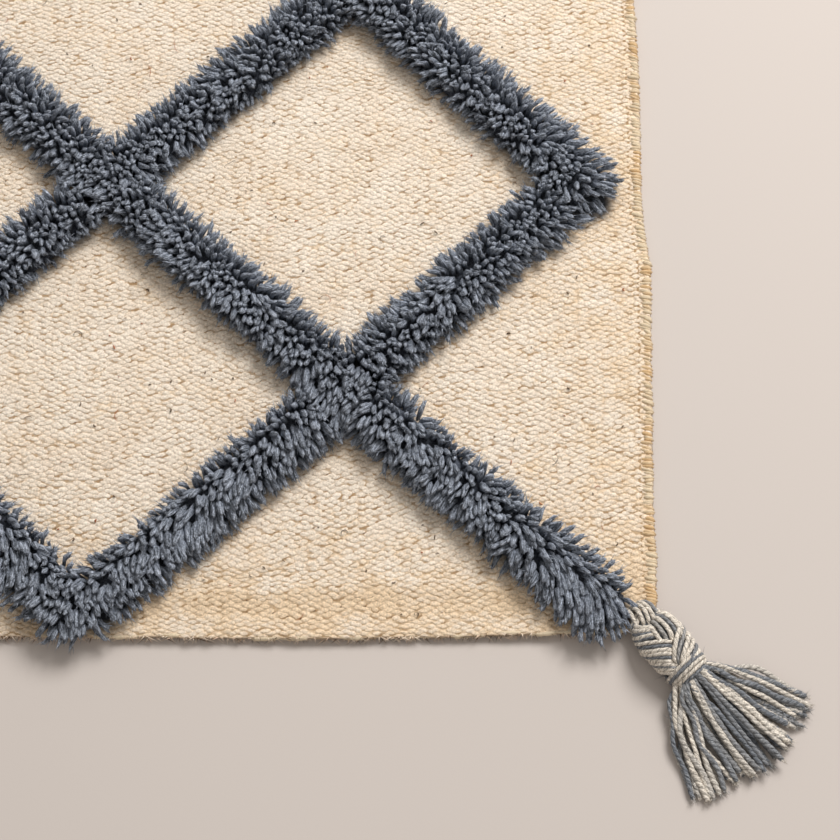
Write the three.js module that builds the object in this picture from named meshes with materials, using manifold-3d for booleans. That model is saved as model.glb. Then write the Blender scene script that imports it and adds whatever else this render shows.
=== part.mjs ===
// Flat-woven kilim rug with a raised lattice of shag and a plaited tassel at each corner.
// Millimetres, +Z up, +Y along the rug. The origin is at the middle of the rug on the floor.
// The photographed corner is at +X, -Y.
import * as THREE from "three";
import { mergeVertices } from "three/addons/utils/BufferGeometryUtils.js";
import Module from "manifold-3d";

const wasm = await Module();
wasm.setup();

// Driving dimensions of the ground cloth
const rugWidth = 700;
const rugLength = 1200;
const clothThickness = 4;
const edgeRounding = 1.5;
const selvedgeRise = 0.8;
const selvedgeEnd = 40;
const cornerLift = 4;
const cornerLiftReach = 130;
const cornerRounding = 3.5;
const cornerPull = 6;
const cornerPullReach = 45;
const cornerPullAlong = 0.5;
const endWave = 1.2;
const endWaveLength = 58;
const sideFade = 8;
const endFade = 16;
const cutterReach = 60;

// Driving dimensions of the shag lattice
const cellsAcross = 4;
const cellsAlong = 8;
const sideMargin = 36;
const endMargin = 12.5;
const pileHalfWidth = 24.5;
const pileHeight = 19;
const pileGap = 0.45;
const pileStep = 17;
const pileLump = 2.4;
const tipOverrun = 19;
const cornerOverrun = 3;
const pileCutGap = 0.6;
const pileHeldIn = 4;
const pileHeldSide = 8.5;
const rimOverhang = 7;
const lockReach = 9;
const lockDrop = 3;
const lockSpacing = 36;
const lockClearOfNode = 48;
const lockLean = 5;

// Driving dimensions of a tassel
const tasselSeatGap = 0.45;
const tasselSides = 12;
const tasselRingStep = 3.2;
const plaitDepth = 0.075;
const plaitPitch = 11;
const plaitSlant = 2.25;
const strandCount = 18;
const strandWidth = 2.8;
const strandHeight = 2.4;
const strandLayers = 4;
const strandLowest = 1;
const strandLayerRise = 3.7;
const strandRootInset = 7;
const strandFallShare = 0.72;
const strandUneven = 5;

// One row for each place along the photographed half: how far each side edge stands out or in
const sideRows = [
  { along: -600, right: 0, left: 0.6 },
  { along: -588, right: -0.6, left: 0.8 },
  { along: -564, right: -2.4, left: 1.4 },
  { along: -526, right: -3, left: 1.9 },
  { along: -480, right: -1.4, left: 1.1 },
  { along: -432, right: 1, left: -0.6 },
  { along: -376, right: 3.1, left: -1.7 },
  { along: -349, right: 3.9, left: -1.9 },
  { along: -329, right: 1.2, left: -1.4 },
  { along: -303, right: 0.5, left: -0.5 },
  { along: -242, right: 2.6, left: 1.2 },
  { along: -195, right: 3.4, left: 1.8 },
  { along: -148, right: 3.2, left: 1 },
  { along: -75, right: 1.4, left: -0.8 },
];

// Distances of the cloth's lengthwise lines from its side edge
const edgeLines = [0, 3, 8, 26, 58, 100, 165, 255];

// How far hand knotting has moved a lattice point from its even place
const movedPoints = [
  { across: 0, along: 0, right: 2.8, up: 0.2 },
  { across: 2, along: 0, right: -1.2, up: 0.8 },
  { across: 1, along: 1, right: 1.2, up: -0.3 },
  { across: 0, along: 2, right: -4.2, up: -2 },
  { across: 2, along: 2, right: 0.3, up: -1.8 },
  { across: 3, along: 3, right: -1.8, up: 1.5 },
  { across: 0, along: 4, right: 1.6, up: 2.2 },
  { across: 4, along: 4, right: -1.4, up: -1.6 },
  { across: 2, along: 6, right: 2, up: 1.2 },
  { across: 1, along: 7, right: -1.5, up: -1.2 },
];

// Section of the shag: across in half widths, height in pile heights
const pileSection = [
  { across: -0.8, height: 0 },
  { across: -1, height: 0.36 },
  { across: -0.7, height: 0.86 },
  { across: 0, height: 1 },
  { across: 0.7, height: 0.86 },
  { across: 1, height: 0.36 },
  { across: 0.8, height: 0 },
];

// A free end of the shag: places along its last stretch, and how much of the section is left there
const pileEnd = [
  { back: 0, width: 0.5, height: 0.55 },
  { back: 5, width: 0.82, height: 0.82 },
  { back: 13, width: 1, height: 1 },
];

// Knot of a tassel, from the cloth's corner to the skirt: place of its middle, half width and half height
const knotRows = [
  { along: 0, half: 5.5, tall: 4.2, middle: 5.6 },
  { along: 5, half: 9.5, tall: 7, middle: 7.2 },
  { along: 12, half: 13, tall: 9.8, middle: 9.2 },
  { along: 22, half: 14.2, tall: 11.8, middle: 11.2 },
  { along: 32, half: 13.8, tall: 11.8, middle: 11.2 },
  { along: 40, half: 12.6, tall: 10.9, middle: 10.3 },
  { along: 46, half: 12.2, tall: 10.4, middle: 9.8 },
  { along: 51, half: 9.4, tall: 8.4, middle: 8 },
];

// Places along a yarn end, as shares of its length, and how thin it is there
const strandRows = [
  { part: 0, thin: 0.8 },
  { part: 0.38, thin: 1 },
  { part: strandFallShare, thin: 1 },
  { part: 1, thin: 0.85 },
];

// Each tassel: its corner, the seed of its strands and how its skirt is turned
const tasselRows = [
  { name: "tassel_front_right", side: 1, end: -1, seed: 11, turn: 0 },
  { name: "tassel_front_left", side: -1, end: -1, seed: 23, turn: 3 },
  { name: "tassel_back_right", side: 1, end: 1, seed: 37, turn: -2 },
  { name: "tassel_back_left", side: -1, end: 1, seed: 51, turn: 2 },
];
const knotStart = { x: 334, y: -586 };
const knotHeading = -56.8;
const skirtMiddle = -49.4;
const skirtSpread = 77;
const skirtLength = 66;

const creamWool = new THREE.MeshStandardMaterial({ color: 0xe3d2b5, roughness: 0.95, metalness: 0 });
const blueWool = new THREE.MeshStandardMaterial({ color: 0x66727f, roughness: 0.95, metalness: 0 });
const tasselYarn = new THREE.MeshStandardMaterial({ color: 0xa9a69f, roughness: 0.92, metalness: 0 });

// Seeded numbers from 0 to 1, the same each time the part is built
function seededNumbers(seed) {
  let state = seed * 2654435761;
  return () => {
    state = (state + 0x6d2b79f5) | 0;
    let mixed = Math.imul(state ^ (state >>> 15), 1 | state);
    mixed = (mixed + Math.imul(mixed ^ (mixed >>> 7), 61 | mixed)) ^ mixed;
    return ((mixed ^ (mixed >>> 14)) >>> 0) / 4294967296;
  };
}

function degrees(angle) {
  return (angle * Math.PI) / 180;
}

// Value of a column of a table between its rows
function between(rows, key, column, place) {
  if (place <= rows[0][key]) {
    return rows[0][column];
  }
  for (let k = 1; k < rows.length; k += 1) {
    if (place <= rows[k][key]) {
      const share = (place - rows[k - 1][key]) / (rows[k][key] - rows[k - 1][key]);
      return THREE.MathUtils.lerp(rows[k - 1][column], rows[k][column], share);
    }
  }
  return rows[rows.length - 1][column];
}

// Six times the volume inside a closed mesh, negative when its faces point inward
function meshVolume(points, triangles) {
  const spans = triangles.map(([a, b, c]) => points[a].clone().cross(points[b]).dot(points[c]));
  return spans.reduce((sum, span) => sum + span, 0);
}

// A closed mesh from points and triangles, turned outward
function closedGeometry(points, triangles) {
  const volume = meshVolume(points, triangles);
  const geometry = new THREE.BufferGeometry();
  const positions = points.flatMap((p) => [p.x, p.y, p.z]);
  geometry.setAttribute("position", new THREE.Float32BufferAttribute(positions, 3));
  geometry.setIndex(triangles.flatMap(([a, b, c]) => (volume > 0 ? [a, b, c] : [a, c, b])));
  return geometry;
}

function solidFrom(geometry) {
  const merged = mergeVertices(geometry);
  return new wasm.Manifold(
    new wasm.Mesh({
      numProp: 3,
      vertProperties: new Float32Array(merged.attributes.position.array),
      triVerts: new Uint32Array(merged.index.array),
    }),
  );
}

function geometryFrom(solid) {
  const mesh = solid.getMesh();
  const geometry = new THREE.BufferGeometry();
  geometry.setAttribute("position", new THREE.BufferAttribute(new Float32Array(mesh.vertProperties), 3));
  geometry.setIndex(new THREE.BufferAttribute(new Uint32Array(mesh.triVerts), 1));
  return geometry;
}

// The largest of a solid's separate bodies
function largestBody(solid) {
  const bodies = solid.decompose();
  return bodies.reduce((best, body) => (body.volume() > best.volume() ? body : best));
}

// Rings of equal length joined into a closed tube with a fan at each end
function loft(rings) {
  const points = rings.flat();
  const sides = rings[0].length;
  const triangles = [];
  for (let k = 0; k + 1 < rings.length; k += 1) {
    for (let s = 0; s < sides; s += 1) {
      const a = k * sides + s;
      const b = k * sides + ((s + 1) % sides);
      triangles.push([a, b, b + sides], [a, b + sides, a + sides]);
    }
  }
  for (const [start, flip] of [[0, true], [(rings.length - 1) * sides, false]]) {
    const centre = points.length;
    const middle = new THREE.Vector3();
    for (let s = 0; s < sides; s += 1) {
      middle.addScaledVector(points[start + s], 1 / sides);
    }
    points.push(middle);
    for (let s = 0; s < sides; s += 1) {
      const a = start + s;
      const b = start + ((s + 1) % sides);
      triangles.push(flip ? [b, a, centre] : [a, b, centre]);
    }
  }
  return { points, triangles };
}

// How far the cloth stands off the floor at a place: only its corners lift, over the tassel knots
function clothLift(x, y) {
  const away = Math.hypot(rugWidth / 2 - Math.abs(x), rugLength / 2 - Math.abs(y));
  return cornerLift * Math.max(0, 1 - away / cornerLiftReach) ** 2;
}

// The tassel draws each corner of the cloth in a little
function drawnIn(x, y) {
  const away = Math.hypot(rugWidth / 2 - Math.abs(x), rugLength / 2 - Math.abs(y));
  return cornerPull * Math.max(0, 1 - away / cornerPullReach);
}

// Place on the cloth for an even grid place, after the uneven edges. inset pulls in from all edges
function clothPlace(x, y, inset) {
  const share = x / (rugWidth / 2);
  const mirrored = y > 0;
  const rightColumn = mirrored ? "left" : "right";
  const leftColumn = mirrored ? "right" : "left";
  const sideReach = between(sideRows, "along", share > 0 ? rightColumn : leftColumn, -Math.abs(y));
  const endReach = endWave * Math.sin(x / endWaveLength + Math.sign(y));
  const atSide = Math.abs(x) > rugWidth / 2 - 0.01;
  const atEnd = Math.abs(y) > rugLength / 2 - 0.01;
  const pull = drawnIn(x, y) + (atSide && atEnd ? cornerRounding : 0);
  const alongShare = y / (rugLength / 2);
  const sidePull = Math.sign(x) * pull * Math.abs(share) ** sideFade;
  const endPull = Math.sign(y) * (pull * cornerPullAlong - endReach) * alongShare ** endFade;
  return {
    x: share * (rugWidth / 2 + sideReach - inset) - sidePull,
    y: alongShare * (rugLength / 2 - inset) - endPull,
  };
}

// Ground cloth: a sheet with a rounded rim and a slightly raised cord down each long side
function groundCloth() {
  const half = rugWidth / 2;
  const columns = [...edgeLines.map((d) => -half + d), 0, ...edgeLines.map((d) => half - d).reverse()];
  const photographed = sideRows.map((row) => row.along);
  const rows = [...photographed, 0, ...photographed.map((y) => -y).reverse()];
  const wide = columns.length;
  const points = [];
  const triangles = [];
  for (const side of ["top", "bottom"]) {
    for (const y of rows) {
      for (const x of columns) {
        const place = clothPlace(x, y, edgeRounding);
        const nearSide = Math.abs(Math.abs(x) - (half - edgeLines[1])) < 0.01;
        const onCord = nearSide && Math.abs(y) < rugLength / 2 - selvedgeEnd;
        const rise = side === "top" ? clothThickness + (onCord ? selvedgeRise : 0) : 0;
        points.push(new THREE.Vector3(place.x, place.y, clothLift(place.x, place.y) + rise));
      }
    }
  }
  const layer = wide * rows.length;
  for (let j = 0; j + 1 < rows.length; j += 1) {
    for (let i = 0; i + 1 < wide; i += 1) {
      const a = j * wide + i;
      const b = a + 1;
      const c = a + wide;
      const d = c + 1;
      triangles.push([a, b, d], [a, d, c]);
      triangles.push([layer + a, layer + d, layer + b], [layer + a, layer + c, layer + d]);
    }
  }
  const rim = rimOfGrid(wide, rows.length);
  const first = points.length;
  for (const k of rim) {
    const x = columns[k % wide];
    const y = rows[Math.floor(k / wide)];
    const place = clothPlace(x, y, 0);
    points.push(new THREE.Vector3(place.x, place.y, clothLift(place.x, place.y) + clothThickness / 2));
  }
  for (let k = 0; k < rim.length; k += 1) {
    const next = (k + 1) % rim.length;
    triangles.push([rim[k], first + k, first + next], [rim[k], first + next, rim[next]]);
    const low = layer + rim[k];
    const lowNext = layer + rim[next];
    triangles.push([first + k, low, lowNext], [first + k, lowNext, first + next]);
  }
  return closedGeometry(points, triangles);
}

// Grid places round the rim, in order
function rimOfGrid(wide, long) {
  const rim = [];
  for (let i = 0; i < wide - 1; i += 1) {
    rim.push(i);
  }
  for (let j = 0; j < long - 1; j += 1) {
    rim.push(j * wide + wide - 1);
  }
  for (let i = wide - 1; i > 0; i -= 1) {
    rim.push((long - 1) * wide + i);
  }
  for (let j = long - 1; j > 0; j -= 1) {
    rim.push(j * wide);
  }
  return rim;
}

// A point of the lattice: across counts from the right edge, along from the photographed end
function latticePoint(across, along) {
  const pitchAcross = (rugWidth - 2 * sideMargin) / cellsAcross;
  const pitchAlong = (rugLength - 2 * endMargin) / cellsAlong;
  const moved = movedPoints.find((row) => row.across === across && row.along === along);
  const x = rugWidth / 2 - sideMargin - across * pitchAcross + (moved ? moved.right : 0);
  const y = -rugLength / 2 + endMargin + along * pitchAlong + (moved ? moved.up : 0);
  return new THREE.Vector2(x, y);
}

// Keeps the shag's root on the cloth. over is how far it may hang past the edge
function heldOnCloth(point, over) {
  const halfX = rugWidth / 2 - pileHeldSide - drawnIn(point.x, point.y) + over;
  const halfY = rugLength / 2 - pileHeldIn + over;
  point.x = THREE.MathUtils.clamp(point.x, -halfX, halfX);
  point.y = THREE.MathUtils.clamp(point.y, -halfY, halfY);
}

// Places along a line of lattice points, with the direction there
function stationsAlong(line, startOver, endOver) {
  const lengths = [0];
  for (let k = 1; k < line.length; k += 1) {
    lengths.push(lengths[k - 1] + line[k].distanceTo(line[k - 1]));
  }
  const total = lengths[lengths.length - 1];
  const places = [];
  if (startOver > 0) {
    places.push(...pileEnd.map((row) => row.back - startOver));
  }
  const from = startOver > 0 ? pileEnd[pileEnd.length - 1].back - startOver : 0;
  const to = endOver > 0 ? total + endOver - pileEnd[pileEnd.length - 1].back : total;
  const steps = Math.round((to - from) / pileStep);
  for (let k = startOver > 0 ? 1 : 0; k < steps; k += 1) {
    places.push(from + ((to - from) * k) / steps);
  }
  places.push(to);
  if (endOver > 0) {
    places.push(...pileEnd.slice(0, -1).map((row) => total + endOver - row.back).reverse());
  }
  return places.map((place) => {
    let k = 1;
    while (k < line.length - 1 && place > lengths[k]) {
      k += 1;
    }
    const direction = line[k].clone().sub(line[k - 1]).normalize();
    const middle = line[k - 1].clone().addScaledVector(direction, place - lengths[k - 1]);
    const fromStart = startOver > 0 ? place + startOver : Infinity;
    const fromEnd = endOver > 0 ? total + endOver - place : Infinity;
    const back = Math.min(fromStart, fromEnd);
    const nearest = Math.min(...lengths.map((length) => Math.abs(length - place)));
    return { middle, direction, back, nearest };
  });
}

// Moves each point of a closed mesh outward along the mean of its faces
function grown(points, triangles, distance) {
  const normals = points.map(() => new THREE.Vector3());
  for (const [a, b, c] of triangles) {
    const ab = points[b].clone().sub(points[a]);
    const face = ab.cross(points[c].clone().sub(points[a]));
    [a, b, c].forEach((k) => normals[k].add(face));
  }
  const outward = meshVolume(points, triangles) > 0 ? distance : -distance;
  points.forEach((point, k) => point.addScaledVector(normals[k].normalize(), outward));
}

// A length of shag: a lumpy slab on the cloth, with locks standing out at its rims. grow makes a cutter
function shagSolid(piece, grow) {
  const random = seededNumbers(piece.seed);
  const stations = stationsAlong(piece.line, piece.startOver, piece.endOver);
  const rings = stations.map((station) => {
    const width = between(pileEnd, "back", "width", station.back);
    const height = between(pileEnd, "back", "height", station.back);
    const sideways = new THREE.Vector2(-station.direction.y, station.direction.x);
    return pileSection.map((row) => {
      const lump = row.height > 0 ? pileLump * (random() - 0.5) * 2 : 0;
      const drift = row.height > 0 ? pileLump * (random() - 0.5) : 0;
      const across = row.across * pileHalfWidth * width;
      const out = across + Math.sign(across) * lump * Math.abs(row.across);
      const flat = station.middle.clone().addScaledVector(sideways, out);
      flat.addScaledVector(station.direction, drift);
      heldOnCloth(flat, row.height > 0 ? rimOverhang : 0);
      const tall = row.height * (pileHeight * height + lump);
      const floor = clothLift(flat.x, flat.y) + clothThickness + pileGap;
      return new THREE.Vector3(flat.x, flat.y, floor + tall);
    });
  });
  const { points, triangles } = loft(rings);
  if (grow > 0) {
    grown(points, triangles, grow);
  } else {
    raiseLocks(points, triangles, stations, random);
  }
  return solidFrom(closedGeometry(points, triangles));
}

// Swaps side faces of the slab for four-sided locks that lean outward and down
function raiseLocks(points, triangles, stations, random) {
  const sides = pileSection.length;
  for (const [low, high, turn] of [[1, 2, 1], [5, 4, -1]]) {
    let along = lockSpacing * (0.3 + 0.4 * random());
    for (let k = 0; k + 1 < stations.length; k += 1) {
      const here = stations[k];
      const step = stations[k + 1].middle.distanceTo(here.middle);
      along -= step;
      const clear = Math.min(here.nearest, stations[k + 1].nearest) > lockClearOfNode;
      if (along > 0 || !clear) {
        continue;
      }
      along = lockSpacing * (0.75 + 0.5 * random());
      const corners = [k * sides + low, k * sides + high, (k + 1) * sides + high, (k + 1) * sides + low];
      const tip = new THREE.Vector3();
      corners.forEach((corner) => tip.addScaledVector(points[corner], 0.25));
      const outward = new THREE.Vector3(-here.direction.y, here.direction.x, 0);
      tip.addScaledVector(outward, -turn * lockReach * (0.8 + 0.4 * random()));
      tip.y -= lockLean * (0.4 + 0.6 * random());
      tip.z -= lockDrop;
      const apex = points.length;
      points.push(tip);
      for (let t = triangles.length - 1; t >= 0; t -= 1) {
        if (triangles[t].every((corner) => corners.includes(corner))) {
          triangles.splice(t, 1);
        }
      }
      const order = turn > 0 ? corners : [...corners].reverse();
      for (let c = 0; c < 4; c += 1) {
        triangles.push([order[c], order[(c + 1) % 4], apex]);
      }
    }
  }
}

// Bands that run straight through the lattice from edge to edge
function throughBands() {
  const bands = [];
  for (let offset = -2; offset <= 6; offset += 2) {
    const line = [];
    for (let across = 0; across <= cellsAcross; across += 1) {
      const along = across + offset;
      if (along >= 0 && along <= cellsAlong) {
        line.push(latticePoint(across, along));
      }
    }
    const startOver = offset === 0 ? cornerOverrun : tipOverrun;
    const endOver = offset === cellsAlong - cellsAcross ? cornerOverrun : tipOverrun;
    bands.push({ line, startOver, endOver, seed: 100 + offset });
  }
  return bands;
}

// Shorter lengths of shag that cross between the through bands
function crossPieces() {
  const pieces = [];
  for (let sum = 2; sum <= cellsAcross + cellsAlong - 2; sum += 2) {
    for (let across = 0; across < cellsAcross; across += 1) {
      const along = sum - across;
      if (along <= cellsAlong && along - 1 >= 0) {
        const start = latticePoint(across, along);
        const end = latticePoint(across + 1, along - 1);
        const startOver = across === 0 && along === cellsAlong ? cornerOverrun : 0;
        const endOver = across + 1 === cellsAcross && along - 1 === 0 ? cornerOverrun : 0;
        pieces.push({ line: [start, end], startOver, endOver, seed: 200 + sum * 10 + across });
      }
    }
  }
  return pieces;
}

// Centre line of a tassel's knot at the photographed corner, and the way across it
function knotPlace(along) {
  const bend = along / knotRows[knotRows.length - 1].along;
  const heading = degrees(knotHeading + (skirtMiddle - knotHeading) * 0.5 * bend);
  const x = knotStart.x + along * Math.cos(heading);
  const y = knotStart.y + along * Math.sin(heading);
  return { x, y, acrossX: -Math.sin(heading), acrossY: Math.cos(heading) };
}

// Plaited knot with a wrapped neck, its ridges raised in its points
function tasselKnot() {
  const last = knotRows[knotRows.length - 1].along;
  const steps = Math.round(last / tasselRingStep);
  const rings = [];
  for (let k = 0; k <= steps; k += 1) {
    const along = (last * k) / steps;
    const place = knotPlace(along);
    const half = between(knotRows, "along", "half", along);
    const tall = between(knotRows, "along", "tall", along);
    const middle = between(knotRows, "along", "middle", along);
    const ring = [];
    for (let s = 0; s < tasselSides; s += 1) {
      const around = (2 * Math.PI * s) / tasselSides;
      const fromTop = Math.abs(Math.atan2(Math.sin(around - Math.PI / 2), Math.cos(around - Math.PI / 2)));
      const phase = (2 * Math.PI * along) / plaitPitch - plaitSlant * fromTop;
      const ridge = 1 + plaitDepth * Math.cos(phase);
      const out = half * ridge * Math.cos(around);
      const z = Math.max(0, middle + tall * ridge * Math.sin(around));
      ring.push(new THREE.Vector3(place.x + out * place.acrossX, place.y + out * place.acrossY, z));
    }
    rings.push(ring);
  }
  const { points, triangles } = loft(rings);
  return solidFrom(closedGeometry(points, triangles));
}

// One yarn end of the skirt: from inside the neck, down to the floor and out to its tip
function skirtStrand(k, random, turn) {
  const neck = knotPlace(knotRows[knotRows.length - 1].along - strandRootInset);
  const share = (k + 0.5) / strandCount - 0.5;
  const heading = degrees(skirtMiddle + turn + share * skirtSpread);
  const outward = new THREE.Vector2(Math.cos(heading), Math.sin(heading));
  const across = new THREE.Vector2(-outward.y, outward.x);
  const spread = knotRows[knotRows.length - 1].half * 0.7 * share * 2;
  const root = new THREE.Vector2(neck.x + neck.acrossX * spread, neck.y + neck.acrossY * spread);
  const outermost = k === 0 || k === strandCount - 1;
  const shorter = outermost ? 0 : strandUneven * random();
  const length = skirtLength + strandRootInset + strandUneven * share - shorter;
  const layer = (k * (strandLayers - 1)) % strandLayers;
  const rings = [];
  for (const { part, thin } of strandRows) {
    const fall = Math.min(1, part / strandFallShare);
    const z = (strandLowest + strandLayerRise * layer) * (1 - fall * fall * (3 - 2 * fall));
    const middle = root.clone().addScaledVector(outward, length * part);
    const half = (strandWidth / 2) * thin;
    const left = middle.clone().addScaledVector(across, half);
    const right = middle.clone().addScaledVector(across, -half);
    rings.push([
      new THREE.Vector3(left.x, left.y, z),
      new THREE.Vector3(right.x, right.y, z),
      new THREE.Vector3(middle.x, middle.y, z + strandHeight * thin),
    ]);
  }
  const { points, triangles } = loft(rings);
  return solidFrom(closedGeometry(points, triangles));
}

// Place on a corner's cloth as seen once that corner is mirrored to the photographed one
function mirroredClothPlace(row, x, y) {
  const place = clothPlace(row.side * x, -row.end * y, -tasselSeatGap);
  return { x: row.side * place.x, y: -row.end * place.y };
}

// Cloth corner with the seat gap all round, cut from the knot that grips it
function cornerCutter(row) {
  const halfX = rugWidth / 2;
  const halfY = rugLength / 2;
  const places = [
    { x: halfX - cutterReach, y: cutterReach - halfY },
    { x: halfX, y: cutterReach - halfY },
    mirroredClothPlace(row, halfX, sideRows[2].along),
    mirroredClothPlace(row, halfX, sideRows[1].along),
    mirroredClothPlace(row, halfX, -halfY),
    mirroredClothPlace(row, halfX - edgeLines[1], -halfY),
    mirroredClothPlace(row, halfX - edgeLines[2], -halfY),
    { x: halfX - cutterReach, y: -halfY - endWave },
  ];
  const ring = (z, sign) =>
    places.map((p) => new THREE.Vector3(p.x, p.y, clothLift(p.x, p.y) + z + sign * tasselSeatGap));
  const { points, triangles } = loft([ring(0, -1), ring(clothThickness, 1)]);
  return solidFrom(closedGeometry(points, triangles));
}

// Tassel: its knot, gripping the cloth's corner, and the skirt's yarn ends fused into the neck
function tasselSolid(row) {
  const random = seededNumbers(row.seed);
  let solid = tasselKnot().subtract(cornerCutter(row));
  for (let k = 0; k < strandCount; k += 1) {
    solid = solid.add(skirtStrand(k, random, row.turn));
  }
  return largestBody(solid);
}

// Turns the photographed corner's tassel to another corner
function atCorner(geometry, row) {
  geometry.scale(row.side, -row.end, 1);
  if (row.side * -row.end < 0) {
    const index = geometry.index.array;
    for (let k = 0; k < index.length; k += 3) {
      [index[k + 1], index[k + 2]] = [index[k + 2], index[k + 1]];
    }
  }
  return geometry;
}

function addPiece(group, name, geometry, material) {
  const mesh = new THREE.Mesh(geometry, material);
  mesh.name = name;
  group.add(mesh);
}

const rug = new THREE.Group();
addPiece(rug, "kilim_ground", groundCloth(), creamWool);

const bands = throughBands();
bands.forEach((band, k) => {
  addPiece(rug, `shag_band_${k + 1}`, geometryFrom(shagSolid(band, 0)), blueWool);
});
const bandCutters = bands.map((band) => shagSolid(band, pileCutGap));
crossPieces().forEach((piece, k) => {
  const solid = bandCutters.reduce((left, cutter) => left.subtract(cutter), shagSolid(piece, 0));
  addPiece(rug, `shag_cross_${k + 1}`, geometryFrom(largestBody(solid)), blueWool);
});

for (const row of tasselRows) {
  addPiece(rug, row.name, atCorner(geometryFrom(tasselSolid(row)), row), tasselYarn);
}

export default rug;
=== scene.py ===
# Kilim rug: cream flat weave, blue-grey shag lattice and a plaited tassel at each corner.
# Sizes are in millimetres, in the part's own frame, and meshPiece turns them into metres.
# Materials and the studio are in metres.
import math

import bpy
import numpy as np
from mathutils.kdtree import KDTree
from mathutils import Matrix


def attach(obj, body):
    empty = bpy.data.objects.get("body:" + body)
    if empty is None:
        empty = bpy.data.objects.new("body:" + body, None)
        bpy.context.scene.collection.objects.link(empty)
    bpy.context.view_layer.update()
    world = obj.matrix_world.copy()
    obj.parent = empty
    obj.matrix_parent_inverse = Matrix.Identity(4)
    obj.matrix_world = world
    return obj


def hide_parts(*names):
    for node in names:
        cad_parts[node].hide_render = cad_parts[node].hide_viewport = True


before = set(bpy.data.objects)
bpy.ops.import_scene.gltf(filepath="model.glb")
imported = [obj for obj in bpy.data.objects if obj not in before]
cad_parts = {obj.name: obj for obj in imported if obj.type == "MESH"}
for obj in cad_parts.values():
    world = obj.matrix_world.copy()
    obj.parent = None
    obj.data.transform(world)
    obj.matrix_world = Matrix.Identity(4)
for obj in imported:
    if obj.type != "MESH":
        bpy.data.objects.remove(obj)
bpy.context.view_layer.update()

toMetres = 0.001
up = np.array([0.0, 0.0, 1.0])


# Shader building

class Value:
    # a socket that can stand in a sum
    def __init__(self, shader, socket):
        self.shader = shader
        self.socket = socket

    def __add__(self, other):
        return self.shader.maths("ADD", self, other)

    def __radd__(self, other):
        return self.shader.maths("ADD", other, self)

    def __sub__(self, other):
        return self.shader.maths("SUBTRACT", self, other)

    def __rsub__(self, other):
        return self.shader.maths("SUBTRACT", other, self)

    def __mul__(self, other):
        return self.shader.maths("MULTIPLY", self, other)

    def __rmul__(self, other):
        return self.shader.maths("MULTIPLY", other, self)

    def __pow__(self, other):
        return self.shader.maths("POWER", self, other)

    def __rpow__(self, other):
        return self.shader.maths("POWER", other, self)


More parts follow.
